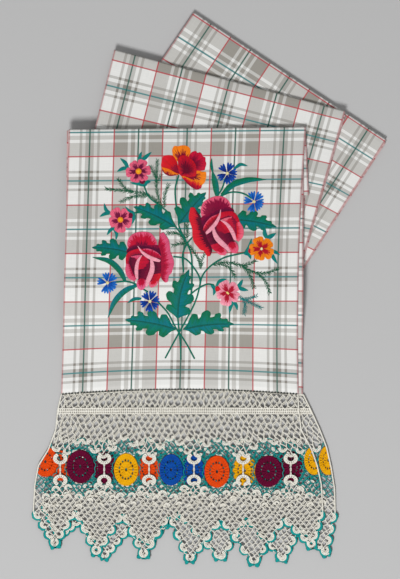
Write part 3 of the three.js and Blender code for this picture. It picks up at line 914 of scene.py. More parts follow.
def yarnShader(name):
    # Plied yarn, a little patchy, with painted shade down its sides and underneath
    body, shade = (tone(code) for code in yarns[name])
    # The shaded colour made darker still: painted shade for the strands' sides and undersides
    paintedShadeColour = (*[0.42 * level for level in shade[:3]], 1.0)  # between the strands
    shader = Shader(f"{name}_yarn", Roughness=0.82, Specular_IOR_Level=0.12)
    around, along = shader.map("yarn")[:2]
    place = shader.split(shader.node("TexCoord")[3])
    patchy = shader.noise(place[0], place[1], place[2], 160.0)
    twist = (along * 2.6 + around * 2 * math.pi).sine()
    fluff = shader.noise(around * 9.0, along * 3.0, 0.0, 1.0, 4.0)
    share = patchy.above(0.55, 0.3) * 0.45 + (1 - (twist * 0.5 + 0.5)) * 0.3 + fluff * 0.15
    # Painted shade: darker where the surface turns away from straight up, on the strands' sides and
    # undersides
    paintedSideShade = (1 - shader.split(shader.node("TexCoord")[1])[2]).above(0.5, 0.32) * 0.85
    shader.colour(shader.mix(paintedSideShade, shader.mix(share, body, shade), paintedShadeColour))
    shader.rough(0.75 + fluff * 0.2)
    shader.bump(twist * 0.6 + fluff * 0.8, 0.3, 0.7)
    return shader


yarnShaders = {name: yarnShader(name) for name in yarns}


def finishLace(pile, name, yarn, *nodes):
    piece = pile.build(name, yarnShaders[yarn])
    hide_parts(*nodes)


for lace in laces:
    name = lace["name"]
    finishLace(headingPile(lace), f"{name}_lace_heading", "white", f"{name}_heading")
    finishLace(bandPile(lace), f"{name}_lace_band", "teal", f"{name}_ground")
    for yarn in ("orange", "maroon", "yellow", "blue"):
        pile = Pile()
        nodes = []
        for i, wheel in enumerate(lace["wheels"]):
            if wheel["yarn"] == yarn:
                addWheel(pile, lace, wheel)
                nodes.append(f"{name}_wheel_{i + 1}")
        finishLace(pile, f"{name}_{yarn}_wheels", yarn, *nodes)
    points = pointsPile(lace)
    for edge in ("left", "right"):
        addTubes(points, edgeCord(lace, edge, -356), 1.3, 0.9)
    finishLace(points, f"{name}_lace_points", "white", f"{name}_points")
    finishLace(trimPile(lace), f"{name}_lace_trim", "teal")
    if lace["links"]:
        links = [f"{name}_link_{i + 1}" for i in range(len(lace["links"]))]
        finishLace(linkPile(lace), f"{name}_lace_links", "white", *links)
        darkMarkPile = Pile()
        addDarkMarks(darkMarkPile, lace)
        finishLace(darkMarkPile, f"{name}_dark_marks", "dark")
    print(name, "lace ready")


# Embroidery on the front run. Places are pixels of the photograph, and each patch is a fill of
# stitches that run from one line of points to another.
thread = {"pitch": 0.85, "rank": 0.17, "dome": 0.32}


def addStitches(pile, start, end, colours, edges=(0.4, 0.8), feather=0.3, rank=0, isClosed=False):
    # A patch swept between two lines of places, one stitch beside the next. It stands up as a dome:
    # 1 - |2 share - 1| to the power 6 along a stitch, times 1 - across to the power 12.
    start, end = fromPhoto(start), fromPhoto(end)
    start = mixed(start, end, 0.02) if len(start) == 1 else start
    share = np.linspace(0, 1, 9)
    place = mixed(start[None], end[None], share[:, None, None])
    across = np.linspace(-1, 1, len(end))
    rise = 1 - share**6 if isClosed else 1 - np.abs(2 * share - 1) ** 6
    fall = np.ones_like(across) if isClosed else 1 - across**12
    dome = rise[:, None] * fall
    z = topZ(place[..., 0], place[..., 1]) + rank * thread["rank"] + 0.05 + thread["dome"] * dome
    guide = mixed(start, end, 0.75)
    travelled = np.concatenate([[0], np.cumsum(np.linalg.norm(np.diff(guide, axis=0), axis=1))])
    count = travelled / thread["pitch"] + chance.integers(0, 400)
    length = np.linalg.norm(end - start, axis=1)
    places = np.stack(np.broadcast_arrays(count[None], length[None] * share[:, None]), axis=-1)
    stitch = placed(count[None], share[:, None], feather)
    low, high = (np.broadcast_to(edge, place.shape[:2]) for edge in edges)
    inner, middle, outer = (tone(code) for code in colours)
    reach, onward = end - start, np.gradient(start + end, axis=0)
    isUp = np.sum(reach[:, 1] * onward[:, 0] - reach[:, 0] * onward[:, 1]) > 0
    faces = gridFaces(len(share), len(end))
    pile.add(
        placed(place[..., 0], place[..., 1], z),
        faces if isUp else faces[:, ::-1],
        places,
        stitch=stitch.reshape(-1, 3),
        edges=placed(low, high, 0.0).reshape(-1, 3),
        inner=inner,
        middle=middle,
        outer=outer,
    )


def curveCount(points):
    points = np.asarray(points, float)
    return int(np.clip(np.linalg.norm(np.diff(points, axis=0), axis=1).sum() * 1.9, 12, 90))


def addFan(pile, base, rim, colours, **options):
    # Stitches from one place to a rim
    rim = smoothCurve(rim, curveCount(rim))
    addStitches(pile, np.asarray(base, float)[None], rim, colours, **options)


def addFill(pile, first, second, colours, **options):
    # Stitches from one line to another
    count = max(curveCount(first), curveCount(second))
    addStitches(pile, smoothCurve(first, count), smoothCurve(second, count), colours, **options)


def addBlade(pile, line, widths, colours, rank=1):
    # A fill either side of a middle line, with its half widths at even steps along it
    line = smoothCurve(line, curveCount(line))
    ahead = np.gradient(line, axis=0)
    ahead /= np.linalg.norm(ahead, axis=1, keepdims=True)
    normal = np.stack([ahead[:, 1], -ahead[:, 0]], axis=-1)
    share = np.linspace(0, len(widths) - 1, len(line))
    width = smoothCurve(np.stack([np.arange(len(widths)), widths], axis=-1), 200)
    width = np.interp(share, width[:, 0], width[:, 1])[:, None]
    slant = ahead * np.minimum(width, 2.5) * 0.35
    addStitches(pile, line - normal * width - slant, line + normal * width + slant, colours, rank=rank)


def addLeaf(pile, leaf):
    # Both sides are stitched forward from the vein to a rim whose width rises and falls in lobes
    base, tip = np.array(leaf["base"]), np.array(leaf["tip"])
    along = tip - base
    length = np.linalg.norm(along)
    along = along / length
    normal = np.array([along[1], -along[0]])

    def veinAt(share):
        share = np.asarray(share, float)[..., None]
        return base + along * length * share + normal * leaf["bow"] * 4 * share * (1 - share)

    lobes = smoothCurve(leafRim, 130)
    width = np.maximum(lobes[:, 1], 0.02)[:, None]
    for way, reach, colours in ((1, leaf["left"], green), (-1, leaf["right"], teal)):
        share = np.clip(lobes[:, 0], 0, 1) ** (1 / leaf["early"])
        share = share + (0.035 * np.sin(np.pi * share) if way < 0 else 0)
        lag = np.maximum.accumulate(np.clip(share - leafSlant * width[:, 0], 0, 1))
        lag = 0.98 * lag + np.linspace(0, 0.02, len(lag))
        rim = veinAt(share) + normal * way * reach * width
        addStitches(pile, veinAt(lag), rim, colours, edges=(0.42, 0.78), feather=0.5, rank=1)
    half = length * 0.013
    vein = [veinAt(share) for share in (0, 0.3, 0.6, 0.8, 1)]
    addBlade(pile, vein, [0.5, half * 1.5, half * 1.2, half, 0.2], veinTeal, 1.8)


def addDots(pile, centre, radius, colours, turn=0.0, stretch=1.0, rank=3):
    # A round or oval spot: radius x stretch one way and radius the other, then turned
    angle = np.linspace(0, 2 * np.pi, 20)
    rim = np.stack([np.cos(angle) * radius * stretch, np.sin(angle) * radius], axis=-1)
    spin = np.array([[math.cos(turn), math.sin(turn)], [-math.sin(turn), math.cos(turn)]])
    addStitches(pile, np.array([centre], float), rim @ spin + centre, colours, rank=rank, isClosed=True)


green = ("#04746e", "#047456", "#046a4a")
teal = ("#02747e", "#03746a", "#046c50")
veinTeal = ("#0a5e50", "#0a5e56", "#0a6458")
bright = ("#04787c", "#048078", "#048070")

leafSlant = 0.12  # how far the stitches lean forward, as a share of the vein
leafRim = [  # place along the vein and half width, as shares, measured on leaves in the photograph
    (0, 0.03), (0.08, 0.28), (0.17, 0.78), (0.23, 0.98), (0.285, 0.92), (0.315, 0.7), (0.325, 0.54),
    (0.365, 0.66), (0.42, 0.98), (0.5, 1.1), (0.55, 1.0), (0.57, 0.76), (0.575, 0.54), (0.61, 0.56),
    (0.67, 0.78), (0.74, 0.84), (0.77, 0.7), (0.775, 0.42), (0.81, 0.38), (0.86, 0.42), (0.89, 0.34),
    (0.9, 0.2), (0.95, 0.13), (1, 0.03),
]
leaves = table("base tip bow early left right", [
    ((177.6, 318.5), (189, 269.5), 3.0, 0.8, 12.6, 13.2),
    ((176, 329.6), (125, 320), -1.5, 1.0, 11.5, 12.0),
    ((183, 329.6), (234, 324.4), 2.0, 1.0, 13.5, 9.0),
    ((175, 227), (133.5, 206.8), -1.5, 1.0, 9.5, 10.5),
    ((179, 224), (206, 192.6), 1.0, 1.0, 13.5, 9.5),
    ((233, 219.6), (276.5, 227), 1.5, 0.9, 10.0, 8.5),
    ((130, 253), (92, 247.6), -1.5, 0.9, 9.5, 9.5),
])
blades = [
    ([(216.9, 196.2), (215.2, 183), (212.4, 170.5)], 3.1, green),
    ([(212.6, 172), (211.4, 165), (211.8, 158.2)], 1.5, green),
    ([(221.2, 195.4), (232.8, 184.8), (246, 180.4), (266.3, 179.5)], 3.1, green),
    ([(234.3, 168.5), (240.5, 164.6), (247.6, 166)], 1.7, bright),
    ([(136.8, 285.4), (125.3, 290.7), (115, 301), (107.6, 318)], 2.9, teal),
    ([(125.3, 281.6), (119.6, 270.6), (110, 261.6), (92.5, 257.2)], 2.9, green),
    ([(141.4, 298.7), (134, 299.2), (127.2, 303)], 1.7, teal),
    # Pairs of pointed leaves around the small flowers
    ([(128, 169), (125.4, 163), (120.4, 158.2)], 1.9, bright),
    ([(128.6, 168.6), (123, 168.6), (117, 171.6)], 1.9, bright),
    ([(139.2, 162), (140, 157), (141.6, 151.8)], 1.8, bright),
    ([(139.4, 161.2), (144.6, 158), (151.6, 152.2)], 2.0, bright),
    ([(144.8, 186), (138.4, 183.8), (130.2, 182.8)], 1.8, bright),
    ([(144.4, 186), (146.8, 182.6), (151.0, 181.8)], 1.9, bright),
    ([(111, 214), (106.6, 210.6), (104.2, 203.4)], 1.8, bright),
    ([(111, 213.4), (105.4, 213.6), (99.6, 216.6)], 1.8, bright),
    ([(134.6, 213), (127.8, 212.2), (122.6, 207.8)], 1.8, bright),
    ([(134.6, 213), (129.4, 211), (125.4, 206.6)], 1.5, bright),
    ([(133.8, 212), (133.6, 218), (131.8, 224.2)], 1.8, bright),
    ([(115, 227.6), (110.6, 230), (106.8, 235)], 1.7, bright),
    ([(113.4, 228), (116.4, 233), (115.8, 240.2)], 1.7, bright),
    ([(244.4, 253.4), (249, 248), (251.6, 238.6)], 1.9, bright),
    ([(243.6, 252.6), (248.6, 254.4), (250.8, 259.2)], 2.0, bright),
    ([(266.6, 238.6), (264.8, 233), (265.4, 227.8)], 2.2, bright),
    ([(266, 237.6), (270.6, 236.4), (276, 233.4)], 2.2, bright),
    ([(270.6, 250.6), (273, 257), (277.2, 263.6)], 1.9, bright),
    ([(270.8, 250.6), (275.2, 252.2), (279.6, 254.8)], 1.8, bright),
    ([(216.4, 286.8), (220.4, 281.4), (226.4, 279.2)], 2.2, bright),
    ([(211.4, 284.4), (214.4, 288.6), (213.4, 295.4)], 2.0, bright),
    ([(236.8, 287.2), (240, 284.4), (242.8, 279.6)], 1.9, bright),
    ([(236.8, 286), (241.4, 288.8), (248.2, 290.6)], 2.0, bright),
    ([(234, 300), (230.6, 306.6), (229.4, 313.2)], 2.0, bright),
    ([(233.2, 300.6), (236, 305.2), (237.4, 310.2)], 1.8, bright),
]
stems = [
    [(143.8, 185), (148.5, 196.2), (158.7, 204.9), (167.4, 212), (174.7, 225.2), (184.9, 239.8),
     (190.5, 252), (192.1, 268.9), (191.4, 293)],
    [(173.2, 256.5), (184.9, 258.7), (193.6, 267.4), (200.1, 280.5), (198.7, 290.7), (195, 302.3),
     (187.8, 316.8), (179, 332.8), (171.8, 345.9), (165, 358.6)],
    [(245, 252.6), (236, 254.6), (225.6, 257.2), (212.5, 264.5), (202.3, 276.1), (199.4, 288)],
    [(214, 285), (208.1, 284.1), (199.4, 287.8), (190.7, 294.3), (184, 303)],
    [(157.6, 301.6), (167.4, 312.5), (176.1, 328.5), (184.9, 341.5), (194.6, 359.2)],
    [(177.6, 317), (179, 331.4), (180.4, 345), (180.8, 360)],
    [(178.8, 175), (175.4, 187.4), (175.6, 200.5), (178, 216), (179, 226), (186, 241)],
    [(225.4, 178), (221.9, 188.9), (217.4, 196)],
    [(252, 198.4), (243, 193.4), (230.4, 192.4), (220, 196.6)],
    [(110.7, 282.7), (118, 281.9), (125.3, 281.4), (135.4, 284.1), (142, 288.4), (148, 292)],
    [(134.3, 212.9), (143, 212.3)],
    [(194.3, 235.4), (187.8, 242.7), (183.4, 251.4), (183.4, 272)],
]
sprigs = [
    [(161.6, 207.8), (154.3, 199.1), (144.2, 193.8), (129.6, 191.4), (106.4, 189.2)],
    [(132.5, 192.6), (123.5, 186.5), (118.7, 179.6)],
    [(147, 196.2), (134, 196.6), (121.4, 201.6)],
    [(162.4, 208), (158, 196.2), (156.2, 181.6), (157.4, 161)],
    [(156.2, 178.5), (151.2, 167)],
    [(156.6, 183), (161, 175.4)],
    [(164.5, 207.5), (164.5, 196.2), (168.3, 185)],
    [(200.9, 268.9), (199.4, 261.6), (193.6, 251.4), (186.3, 242.7), (178.6, 234), (168, 233)],
    [(187.8, 244.5), (180, 243.6), (173, 245.4)],
    [(186.3, 238.3), (187.6, 231), (186.6, 224.8)],
    [(201.6, 266.4), (202, 259), (205, 253.8)],
    [(213, 265), (222, 262.4), (231.4, 263), (244.5, 265.4), (255, 261)],
    [(240.1, 264.8), (253.2, 272), (267.7, 272.8), (277, 269.2)],
    [(256, 272.6), (264.8, 280.5), (269.4, 292.4)],
    [(243, 266), (250.3, 276.4), (253.4, 287.4)],
    [(219, 264), (229, 267.4), (234.6, 276)],
]
tealSprigs = [
    [(238, 297), (246, 299.6), (255.8, 296)],
    [(241, 298.4), (250, 302.6), (260.6, 307.6)],
    [(243.6, 300), (245, 306), (244.2, 313.6)],
]


def addCords(pile, lines, halfWidth, rank=0.6):
    # Round threads laid on the cloth
    for line in lines:
        place = fromPhoto(smoothCurve(line, curveCount(line) + 8))
        z = topZ(place[:, 0], place[:, 1]) + 0.15 + rank * thread["rank"]
        addTubes(pile, placed(place[:, 0], place[:, 1], z)[None], halfWidth, 0.5)


def addSprigs(pile, lines, halfWidth):
    # Short strokes lean forward on both sides of a thin stem
    addCords(pile, lines, halfWidth * 0.8)
    for line in lines:
        count = int(np.linalg.norm(np.diff(np.array(line), axis=0), axis=1).sum() / 1.5)
        place = fromPhoto(smoothCurve(line, count))
        ahead = np.gradient(place, axis=0)
        forward = np.arctan2(ahead[:, 1], ahead[:, 0])
        for way in (1, -1):
            turn = forward + way * chance.uniform(0.45, 0.95, count)
            reach = chance.uniform(3.6, 6.2, count)
            out = np.linspace(0, 1, 5)
            x = place[:, 0, None] + np.cos(turn)[:, None] * reach[:, None] * out
            y = place[:, 1, None] + np.sin(turn)[:, None] * reach[:, None] * out
            z = topZ(x, y) + 0.25 + 0.15 * np.sin(np.pi * out)
            width = halfWidth * np.array([0.5, 1.0, 1.05, 0.8, 0.15])[None]
            addTubes(pile, placed(x, y, z), width, 0.35)


petalShape = np.array([  # angle as a share of the petal's own, and distance as a share of the radius
    (-0.52, 0.4), (-0.49, 0.7), (-0.37, 0.95), (-0.13, 1.0), (0, 0.965), (0.14, 1.0), (0.38, 0.94),
    (0.49, 0.7), (0.52, 0.4),
])


def addBlossom(pile, flower):
    # Notched petals around a heart
    centre = np.array(flower["centre"], float)
    step = 2 * np.pi / flower["petals"]
    streak = np.exp(-((np.linspace(-1, 1, 44) / 0.55) ** 2))
    edges = (0.2 + (flower["streak"] - 0.2) * streak, 0.9)
    for k in range(flower["petals"]):
        radius = flower["radius"] * (1 + 0.06 * math.sin(k * 2.4))
        angle = flower["turn"] + k * step + petalShape[:, 0] * step
        rim = centre + np.stack([np.cos(angle), -np.sin(angle)], axis=-1) * petalShape[:, 1:] * radius
        rank = 2 + 0.4 * (k % 2)
        addStitches(pile, centre[None], smoothCurve(rim, 44), flower["colours"], edges, rank=rank)
    heart = (flower["heart"], flower["heartColours"], flower["heartTurn"], flower["stretch"])
    addDots(pile, centre, *heart, 5)


def addCornflower(pile, flower):
    # Toothed petals: the radius of the rim is 0.78 + 0.24 |sin| of three half turns across it
    centre = np.array(flower["centre"], float)
    teeth = np.linspace(-1, 1, 29)
    for k, turn in enumerate(flower["turns"]):
        angle = np.radians(turn + 25 * teeth)
        radius = 0.78 + 0.24 * np.abs(np.sin(teeth * np.pi * 1.5 + 1.57))
        radius = flower["radius"] * radius * (1.03 + 0.06 * math.sin(k * 1.9))
        radius[[0, -1]] *= 0.7
        rim = centre + np.stack([np.cos(angle), -np.sin(angle)], axis=-1) * radius[:, None]
        base = centre + np.array([math.cos(math.radians(turn)), -math.sin(math.radians(turn))]) * 0.8
        rank = 2 + 0.3 * (k % 2)
        addStitches(pile, base[None], rim, flower["colours"], edges=(0.45, 0.8), feather=0.7, rank=rank)
    addDots(pile, centre, 1.6, ("#efe2a6", "#efe2a6", "#d9c98a"), rank=4)


pink, rosePink, palePink = "#e8607f", "#e0577c", "#f7a3b4"
gold = ("#fbc02a", "#f59a1a", "#ee7a1c")
blossoms = table("centre radius turn petals streak colours heart stretch heartTurn heartColours", [
    ((138.6, 171.4), 12.4, 0.1, 6, 0.68, ("#6d0f3c", pink, pink), 3.0, 1.0, 0.0, gold),
    ((120.4, 219.8), 12.4, 0.9, 5, 0.68, ("#7a1040", "#ee6684", "#ee6684"), 2.9, 1.0, 0.0, gold),
    ((261.6, 248.8), 12.5, 1.95, 5, 0.64, ("#b80f28", "#f58414", "#f98a12"),
     1.6, 1.0, 0.0, ("#fff2b8", "#fff2b8", "#6b0f20")),
    ((227.8, 293.0), 12.6, 0.75, 5, 0.66, ("#b30f30", "#ee8fa4", "#f7a9b6"),
     1.2, 1.9, 0.7, ("#f4d684", "#f4d684", "#8a1020")),
])
deepBlue = ("#041f74", "#053a9a", "#0a4cae")
skyBlue = ("#0a48ac", "#0f62c2", "#2b7ad2")
cornflowers = table("centre radius turns colours", [
    ((227.2, 173.3), 10.0, (130, 68, 10, -42, -92, -150), deepBlue),
    ((254.0, 201.6), 10.0, (105, 48, -5, -52, -108, 172), skyBlue),
    ((107.4, 282.8), 10.0, (100, 45, -12, -55, -105, 170), skyBlue),
    ((149.9, 301.4), 9.8, (128, 72, 15, -40, -95, -160), deepBlue),
])
buds = [
    ((142.3, 181.4), 3.0, ("#7c0f3a", "#6b0b30", "#5a0828")),
    ((130.2, 215.4), 3.0, ("#7c0f3a", "#6b0b30", "#5a0828")),
    ((251.0, 250.6), 3.1, ("#d8182c", "#c0122a", "#a00f26")),
    ((218.2, 289.0), 3.4, ("#e0202c", "#d0162a", "#b81228")),
]

# The poppy, traced: its places were read along the petals' edges in a view of the photograph
# enlarged 17.42 times, and are pixels of that view. A petal is a fan from its base to its rim.
poppy = {"heart": (520, 430), "place": (185.9, 166.7), "unit": 1 / 17.42, "turn": 0.0, "flip": 1}
crimson, scarlet, flame, wine = "#c20c34", "#d4121f", "#fb8216", "#7d0630"
poppyPetals = table("colours edges feather rank isClosed base rim", [
    ((wine, "#8c0a30", "#a80a34"), (0.3, 0.6), 0.34, 0, False, (560, 480),
     [(400, 560), (400, 400), (520, 330), (680, 400), (740, 520), (760, 660), (700, 740), (560, 690),
      (400, 560)]),
    ((wine, "#8d0a2c", flame), (0.3, 0.6), 0.34, 1, False, (455, 350),
     [(350, 335), (290, 220), (285, 120), (320, 68), (380, 72), (450, 58), (520, 62), (575, 92),
      (602, 150), (588, 220), (545, 300)]),
    (("#8c0a30", scarlet, "#dc1c2c"), (0.38, 0.8), 0.3, 2, False, (410, 540),
     [(365, 340), (300, 245), (210, 228), (125, 252), (95, 350), (88, 425), (130, 480), (220, 500),
      (300, 530), (390, 565)]),
    (("#7c0530", "#a80a34", "#cc1038"), (0.5, 0.72), 0.3, 2, False, (600, 400),
     [(545, 300), (585, 215), (640, 168), (695, 158), (722, 188), (762, 178), (800, 212), (818, 250),
      (856, 268), (862, 330), (876, 385), (860, 440), (845, 488), (780, 500), (700, 510)]),
    (("#74052c", flame, "#fc8a1c"), (0.42, 0.8), 0.4, 3, False, (640, 590),
     [(690, 500), (740, 500), (800, 515), (868, 525), (876, 580), (868, 640), (850, 700), (800, 745),
      (740, 720), (680, 670)]),
    (("#6b0428", "#b00a2c", "#cc1022"), (0.5, 0.8), 0.5, 5, True, (520, 510),
     [(410, 560), (385, 470), (382, 380), (385, 300), (440, 236), (520, 238), (600, 290), (665, 350),
      (700, 440), (706, 520), (690, 590), (600, 604), (500, 596), (430, 590), (408, 560)]),
])
poppyFills = table("colours edges feather rank first second", [
    ((flame, "#f07a1c", "#8a0c2c"), (0.3, 0.6), 0.5, 4,
     [(98, 440), (170, 455), (240, 480), (320, 525), (402, 562)],
     [(108, 500), (150, 552), (220, 590), (300, 590), (392, 576)]),
    ((flame, "#d61c2a", "#9c0c30"), (0.26, 0.66), 0.45, 4,
     [(432, 586), (520, 606), (620, 650), (720, 678), (810, 730)],
     [(470, 642), (560, 740), (640, 800), (715, 832), (785, 806)]),
])

# The left rose, traced in the same way in a view enlarged 23.05 times, and turned over for the
# other one
roseFills = table("name edges rank first second", [
    ("dark", (0.3, 0.7), 2,
     [(150, 560), (230, 470), (400, 410), (560, 420), (720, 430), (860, 440), (930, 470)],
     [(150, 628), (230, 590), (380, 540), (520, 520), (720, 560), (860, 630), (965, 720)]),
    ("left", (0.5, 0.9), 3,
     [(135, 880), (130, 745), (180, 615), (310, 548), (450, 520), (560, 540)],
     [(205, 880), (220, 760), (275, 680), (360, 655), (450, 650), (520, 640)]),
    ("well", (0.4, 0.8), 2,
     [(205, 740), (190, 860), (240, 1010), (300, 1120), (390, 1200)],
     [(330, 690), (380, 740), (400, 860), (400, 1010), (400, 1180)]),
    ("lip", (0.5, 0.8), 3,
     [(238, 705), (300, 690), (400, 672), (500, 668)],
     [(290, 735), (345, 740), (385, 800), (440, 770)]),
    ("leftLow", (0.25, 0.5), 4,
     [(215, 870), (262, 990), (300, 1090), (395, 1200)],
     [(138, 875), (122, 1040), (205, 1210), (335, 1275)]),
    ("heart", (0.4, 0.9), 4,
     [(470, 700), (430, 800), (405, 900), (400, 1010)],
     [(590, 690), (660, 760), (665, 860), (560, 990)]),
    ("heartDark", (0.3, 0.7), 3,
     [(410, 990), (405, 1080), (408, 1180), (420, 1270)],
     [(690, 780), (690, 920), (660, 1080), (600, 1270)]),
    ("right", (0.5, 0.9), 3,
     [(770, 820), (780, 930), (775, 1030), (745, 1130)],
     [(945, 830), (952, 930), (950, 1020), (945, 1100)]),
    ("rightLow", (0.3, 0.7), 3,
     [(745, 1110), (700, 1220), (675, 1320), (690, 1400)],
     [(945, 1060), (930, 1190), (860, 1300), (780, 1400)]),
    ("eye", (0.16, 0.5), 4,
     [(530, 528), (640, 520), (770, 560), (880, 625), (960, 712)],
     [(560, 590), (680, 690), (780, 720), (880, 735), (935, 745)]),
    ("outer", (0.35, 0.55), 5,
     [(905, 300), (880, 420), (925, 560), (950, 700), (950, 860), (950, 1000), (935, 1110), (960, 1220),
      (1010, 1280)],
     [(925, 185), (990, 150), (1060, 225), (1135, 360), (1150, 480), (1165, 600), (1215, 730),
      (1245, 860), (1215, 1000), (1180, 1095), (1130, 1140), (1115, 1210), (1100, 1285), (1045, 1305)]),
])
roseFans = table("name edges rank base rim", [
    ("ground", (0.3, 0.7), 0, (640, 800),
     [(230, 620), (400, 500), (700, 450), (930, 560), (960, 800), (940, 1080), (800, 1260), (560, 1290),
      (390, 1200), (240, 1000), (215, 780), (230, 620)]),
    ("back", (0.5, 0.86), 1, (510, 640),
     [(185, 520), (165, 400), (240, 230), (380, 150), (540, 132), (690, 158), (790, 250), (845, 360),
      (862, 460)]),
    ("tail", (0.2, 0.68), 4, (505, 1190),
     [(400, 1250), (385, 1350), (430, 1450), (500, 1478), (560, 1440), (595, 1370), (605, 1250)]),
    ("rightTail", (0.2, 0.66), 4, (800, 1220),
     [(680, 1300), (670, 1370), (720, 1420), (790, 1400), (850, 1350), (880, 1280)]),
])
roseStrokes = table("widths line", [
    ([6, 22, 36, 42, 42, 26],
     [(410, 462), (480, 565), (570, 650), (680, 720), (800, 770), (925, 810)]),
    ([25, 46, 56, 56, 46, 22],
     [(722, 770), (745, 880), (742, 1000), (700, 1130), (645, 1260), (605, 1395)]),
    ([5, 30, 41, 42, 28],
     [(512, 668), (430, 780), (388, 920), (378, 1060), (392, 1215)]),
])
maroonTones = ("#56052a", "#6b0730", "#7d0a34")
roses = [
    {"place": (150.4, 259.4), "unit": 1 / 23.05, "turn": 0.0, "flip": 1, "tones": {
        "ground": maroonTones, "dark": ("#8a0a38", "#5b0632", "#4c052c"),
        "left": ("#cc1230", "#b00a30", "#7a0830"), "well": maroonTones,
        "lip": (rosePink, "#d23a60", "#8a0c34"), "leftLow": ("#b81242", "#dc4f72", "#e2577b"),
        "heart": ("#c80c30", "#c20a34", "#7a0830"), "heartDark": maroonTones, "right": maroonTones,
        "rightLow": ("#a00a34", "#c4102c", "#d8182e"), "eye": (rosePink, "#c20c38", "#a80a34"),
        "outer": ("#a60a34", "#c81c44", "#e0567c"), "back": ("#6b0734", "#c40c34", "#e2587c"),
        "tail": ("#a80a30", "#c20c38", "#e6608a"), "rightTail": ("#c00c2c", "#d2142c", "#e8627e")}},
    {"place": (214.4, 227.7), "unit": 1.04 / 23.05, "turn": -0.42, "flip": -1, "tones": {
        "ground": maroonTones, "dark": ("#8c0a3a", "#6b0636", "#5a0530"),
        "left": ("#c80f2c", "#c81230", "#8a0a30"), "well": ("#8a0a34", "#c01236", "#d0203a"),
        "lip": ("#e86a80", "#d83450", "#b01034"), "leftLow": ("#d8142a", "#ea4560", "#f0607a"),
        "heart": ("#d01230", "#b40c30", "#8a0a30"), "heartDark": maroonTones, "right": maroonTones,
        "rightLow": ("#b80c34", "#c81034", "#d0183c"), "eye": ("#e8506c", "#c4102c", "#8c0a2c"),
        "outer": ("#5b0628", "#c8102c", "#dc1a2c"), "back": ("#7a0836", "#8c0a3a", "#ec5c7c"),
        "tail": ("#b00c34", "#c81034", "#ec5a7c"), "rightTail": ("#b80c30", "#cc1034", "#f0607e")}},
]


def motifPlace(motif, points, heart):
    # Pixels of an enlarged view to the photograph's: turned over, turned, scaled and moved
    local = (np.asarray(points, float) - heart) * (motif["flip"] * motif["unit"], motif["unit"])
    cosine, sine = math.cos(motif["turn"]), math.sin(motif["turn"])
    return local @ np.array([[cosine, sine], [-sine, cosine]]) + motif["place"]


def addRose(pile, rose):
    heart = (701, 770)
    for fan in roseFans:
        base, rim = (motifPlace(rose, fan[key], heart) for key in ("base", "rim"))
        colours = rose["tones"][fan["name"]]
        addFan(pile, base, rim, colours, edges=fan["edges"], feather=0.2, rank=fan["rank"] + 3)
    for fill in roseFills:
        first, second = (motifPlace(rose, fill[key], heart) for key in ("first", "second"))
        colours = rose["tones"][fill["name"]]
        addFill(pile, first, second, colours, edges=fill["edges"], feather=0.26, rank=fill["rank"] + 3)
    for stroke in roseStrokes:
        line, widths = motifPlace(rose, stroke["line"], heart), np.array(stroke["widths"]) * rose["unit"]
        addBlade(pile, line, widths, (palePink, "#f9a9ba", "#f49bb0"), 9)


def silkShader(name):
    # Each stitch changes from the inner to the middle to the outer colour, at places of its own
    shader = Shader(name, Specular_IOR_Level=0.14)
    count, share, feather = shader.split(shader.attribute("stitch")[1])[:3]
    low, high = shader.split(shader.attribute("edges")[1])[:2]
    number = count.floor()
    place = share + (shader.chance(number) - 0.5) * feather
    first = (place - low).above(0.0, 0.05)
    second = (place - high).above(0.0, 0.05)
    colour = shader.mix(first, shader.attribute("inner")[0], shader.attribute("middle")[0])
    colour = shader.mix(second, colour, shader.attribute("outer")[0])
    shade = shader.chance(number + 0.5)
    shader.colour(shader.scaled(colour, 0.84 + shade * 0.26))
    shader.rough(0.46 + shade * 0.16)
    ridge = abs((count * math.pi).sine())
    shader.bump(ridge, 0.3, 0.6)
    return shader


def strandShader(name, body, shade):
    # Two tones that wind round a thin thread
    shader = Shader(name, Roughness=0.6, Specular_IOR_Level=0.12)
    around, along = shader.map("yarn")[:2]
    twist = (along * 4.0 + around * 2 * math.pi).sine()
    patchy = shader.noise(along * 0.2, around, 0.0, 1.0)
    shader.colour(shader.mix(twist * 0.2 + patchy * 0.6, tone(body), tone(shade)))
    shader.bump(twist, 0.15, 0.5)
    return shader


silk = silkShader("satin_stitch")


def finishThread(pile, name, shader):
    piece = pile.build(name, shader)


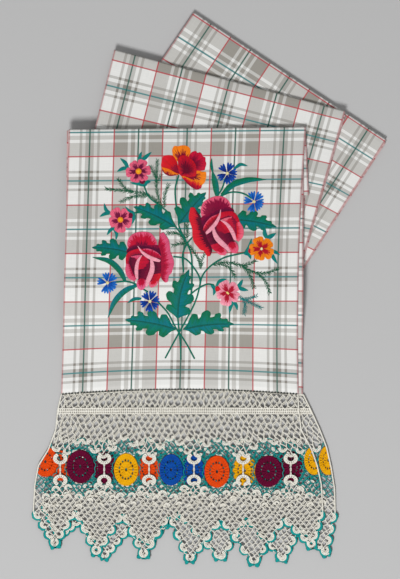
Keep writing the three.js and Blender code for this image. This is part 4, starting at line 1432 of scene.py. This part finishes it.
stemPile = Pile()
addCords(stemPile, stems, 1.3)
finishThread(stemPile, "stems", strandShader("stem_thread", "#08755c", "#046058"))
sprigPile = Pile()
addSprigs(sprigPile, sprigs, 0.5)
finishThread(sprigPile, "sprigs", strandShader("sprig_thread", "#1c6a4a", "#0f4e3a"))
tealPile = Pile()
addSprigs(tealPile, tealSprigs, 0.55)
finishThread(tealPile, "teal_sprigs", strandShader("teal_sprig_thread", "#128080", "#0a6464"))
leafPile = Pile()
for leaf in leaves:
    addLeaf(leafPile, leaf)
for line, half, colours in blades:
    addBlade(leafPile, line, [0.5 * half, 0.95 * half, half, 0.7 * half, 0.2], colours)
finishThread(leafPile, "leaves", silk)
flowerPile = Pile()
for flower in blossoms:
    addBlossom(flowerPile, flower)
for flower in cornflowers:
    addCornflower(flowerPile, flower)
for centre, radius, colours in buds:
    addDots(flowerPile, centre, radius, colours, rank=2)
finishThread(flowerPile, "small_flowers", silk)
poppyPile = Pile()
for petal in poppyPetals:
    base, rim = (motifPlace(poppy, petal.pop(key), poppy["heart"]) for key in ("base", "rim"))
    addFan(poppyPile, base, rim, **petal)
for fill in poppyFills:
    first, second = (motifPlace(poppy, fill.pop(key), poppy["heart"]) for key in ("first", "second"))
    addFill(poppyPile, first, second, **fill)
finishThread(poppyPile, "poppy", silk)
rosePile = Pile()
for rose in roses:
    addRose(rosePile, rose)
finishThread(rosePile, "roses", silk)
print("embroidery ready")


# Stage
def addFloor(z, reach):
    # A plain square a little under the towel, so that the gaps in the lace show dark
    shader = Shader("pale_floor", Base_Color=tone("#bfbfbf"), Roughness=0.95)
    place = np.linspace(-reach, reach, 3)
    x, y = np.meshgrid(place, place)
    pile = Pile()
    pile.add(placed(x, y, z), gridFaces(3, 3), np.stack([x, y], axis=-1))
    pile.build("floor", shader)


def addLight(name, place, power, size):
    light = bpy.data.objects.new(name, bpy.data.lights.new(name, "AREA"))
    light.data.energy = power
    light.data.size = size
    light.location = place
    towards = -np.array(place)
    light.rotation_euler = (
        math.atan2(math.hypot(towards[0], towards[1]), -towards[2]),
        0,
        math.atan2(towards[1], towards[0]) - math.pi / 2,
    )
    bpy.context.scene.collection.objects.link(light)


addFloor(-3.0, 4000)
addLight("key", (-1.2, -3.4, 4.7), 285, 1.5)
addLight("fill", (0.4, 0.6, 2.6), 7, 2.2)
world = bpy.data.worlds.new("studio")
world.use_nodes = True
world.node_tree.nodes["Background"].inputs["Color"].default_value = (1, 1, 1, 1)
world.node_tree.nodes["Background"].inputs["Strength"].default_value = 0.25
bpy.context.scene.world = world
print("stage ready")
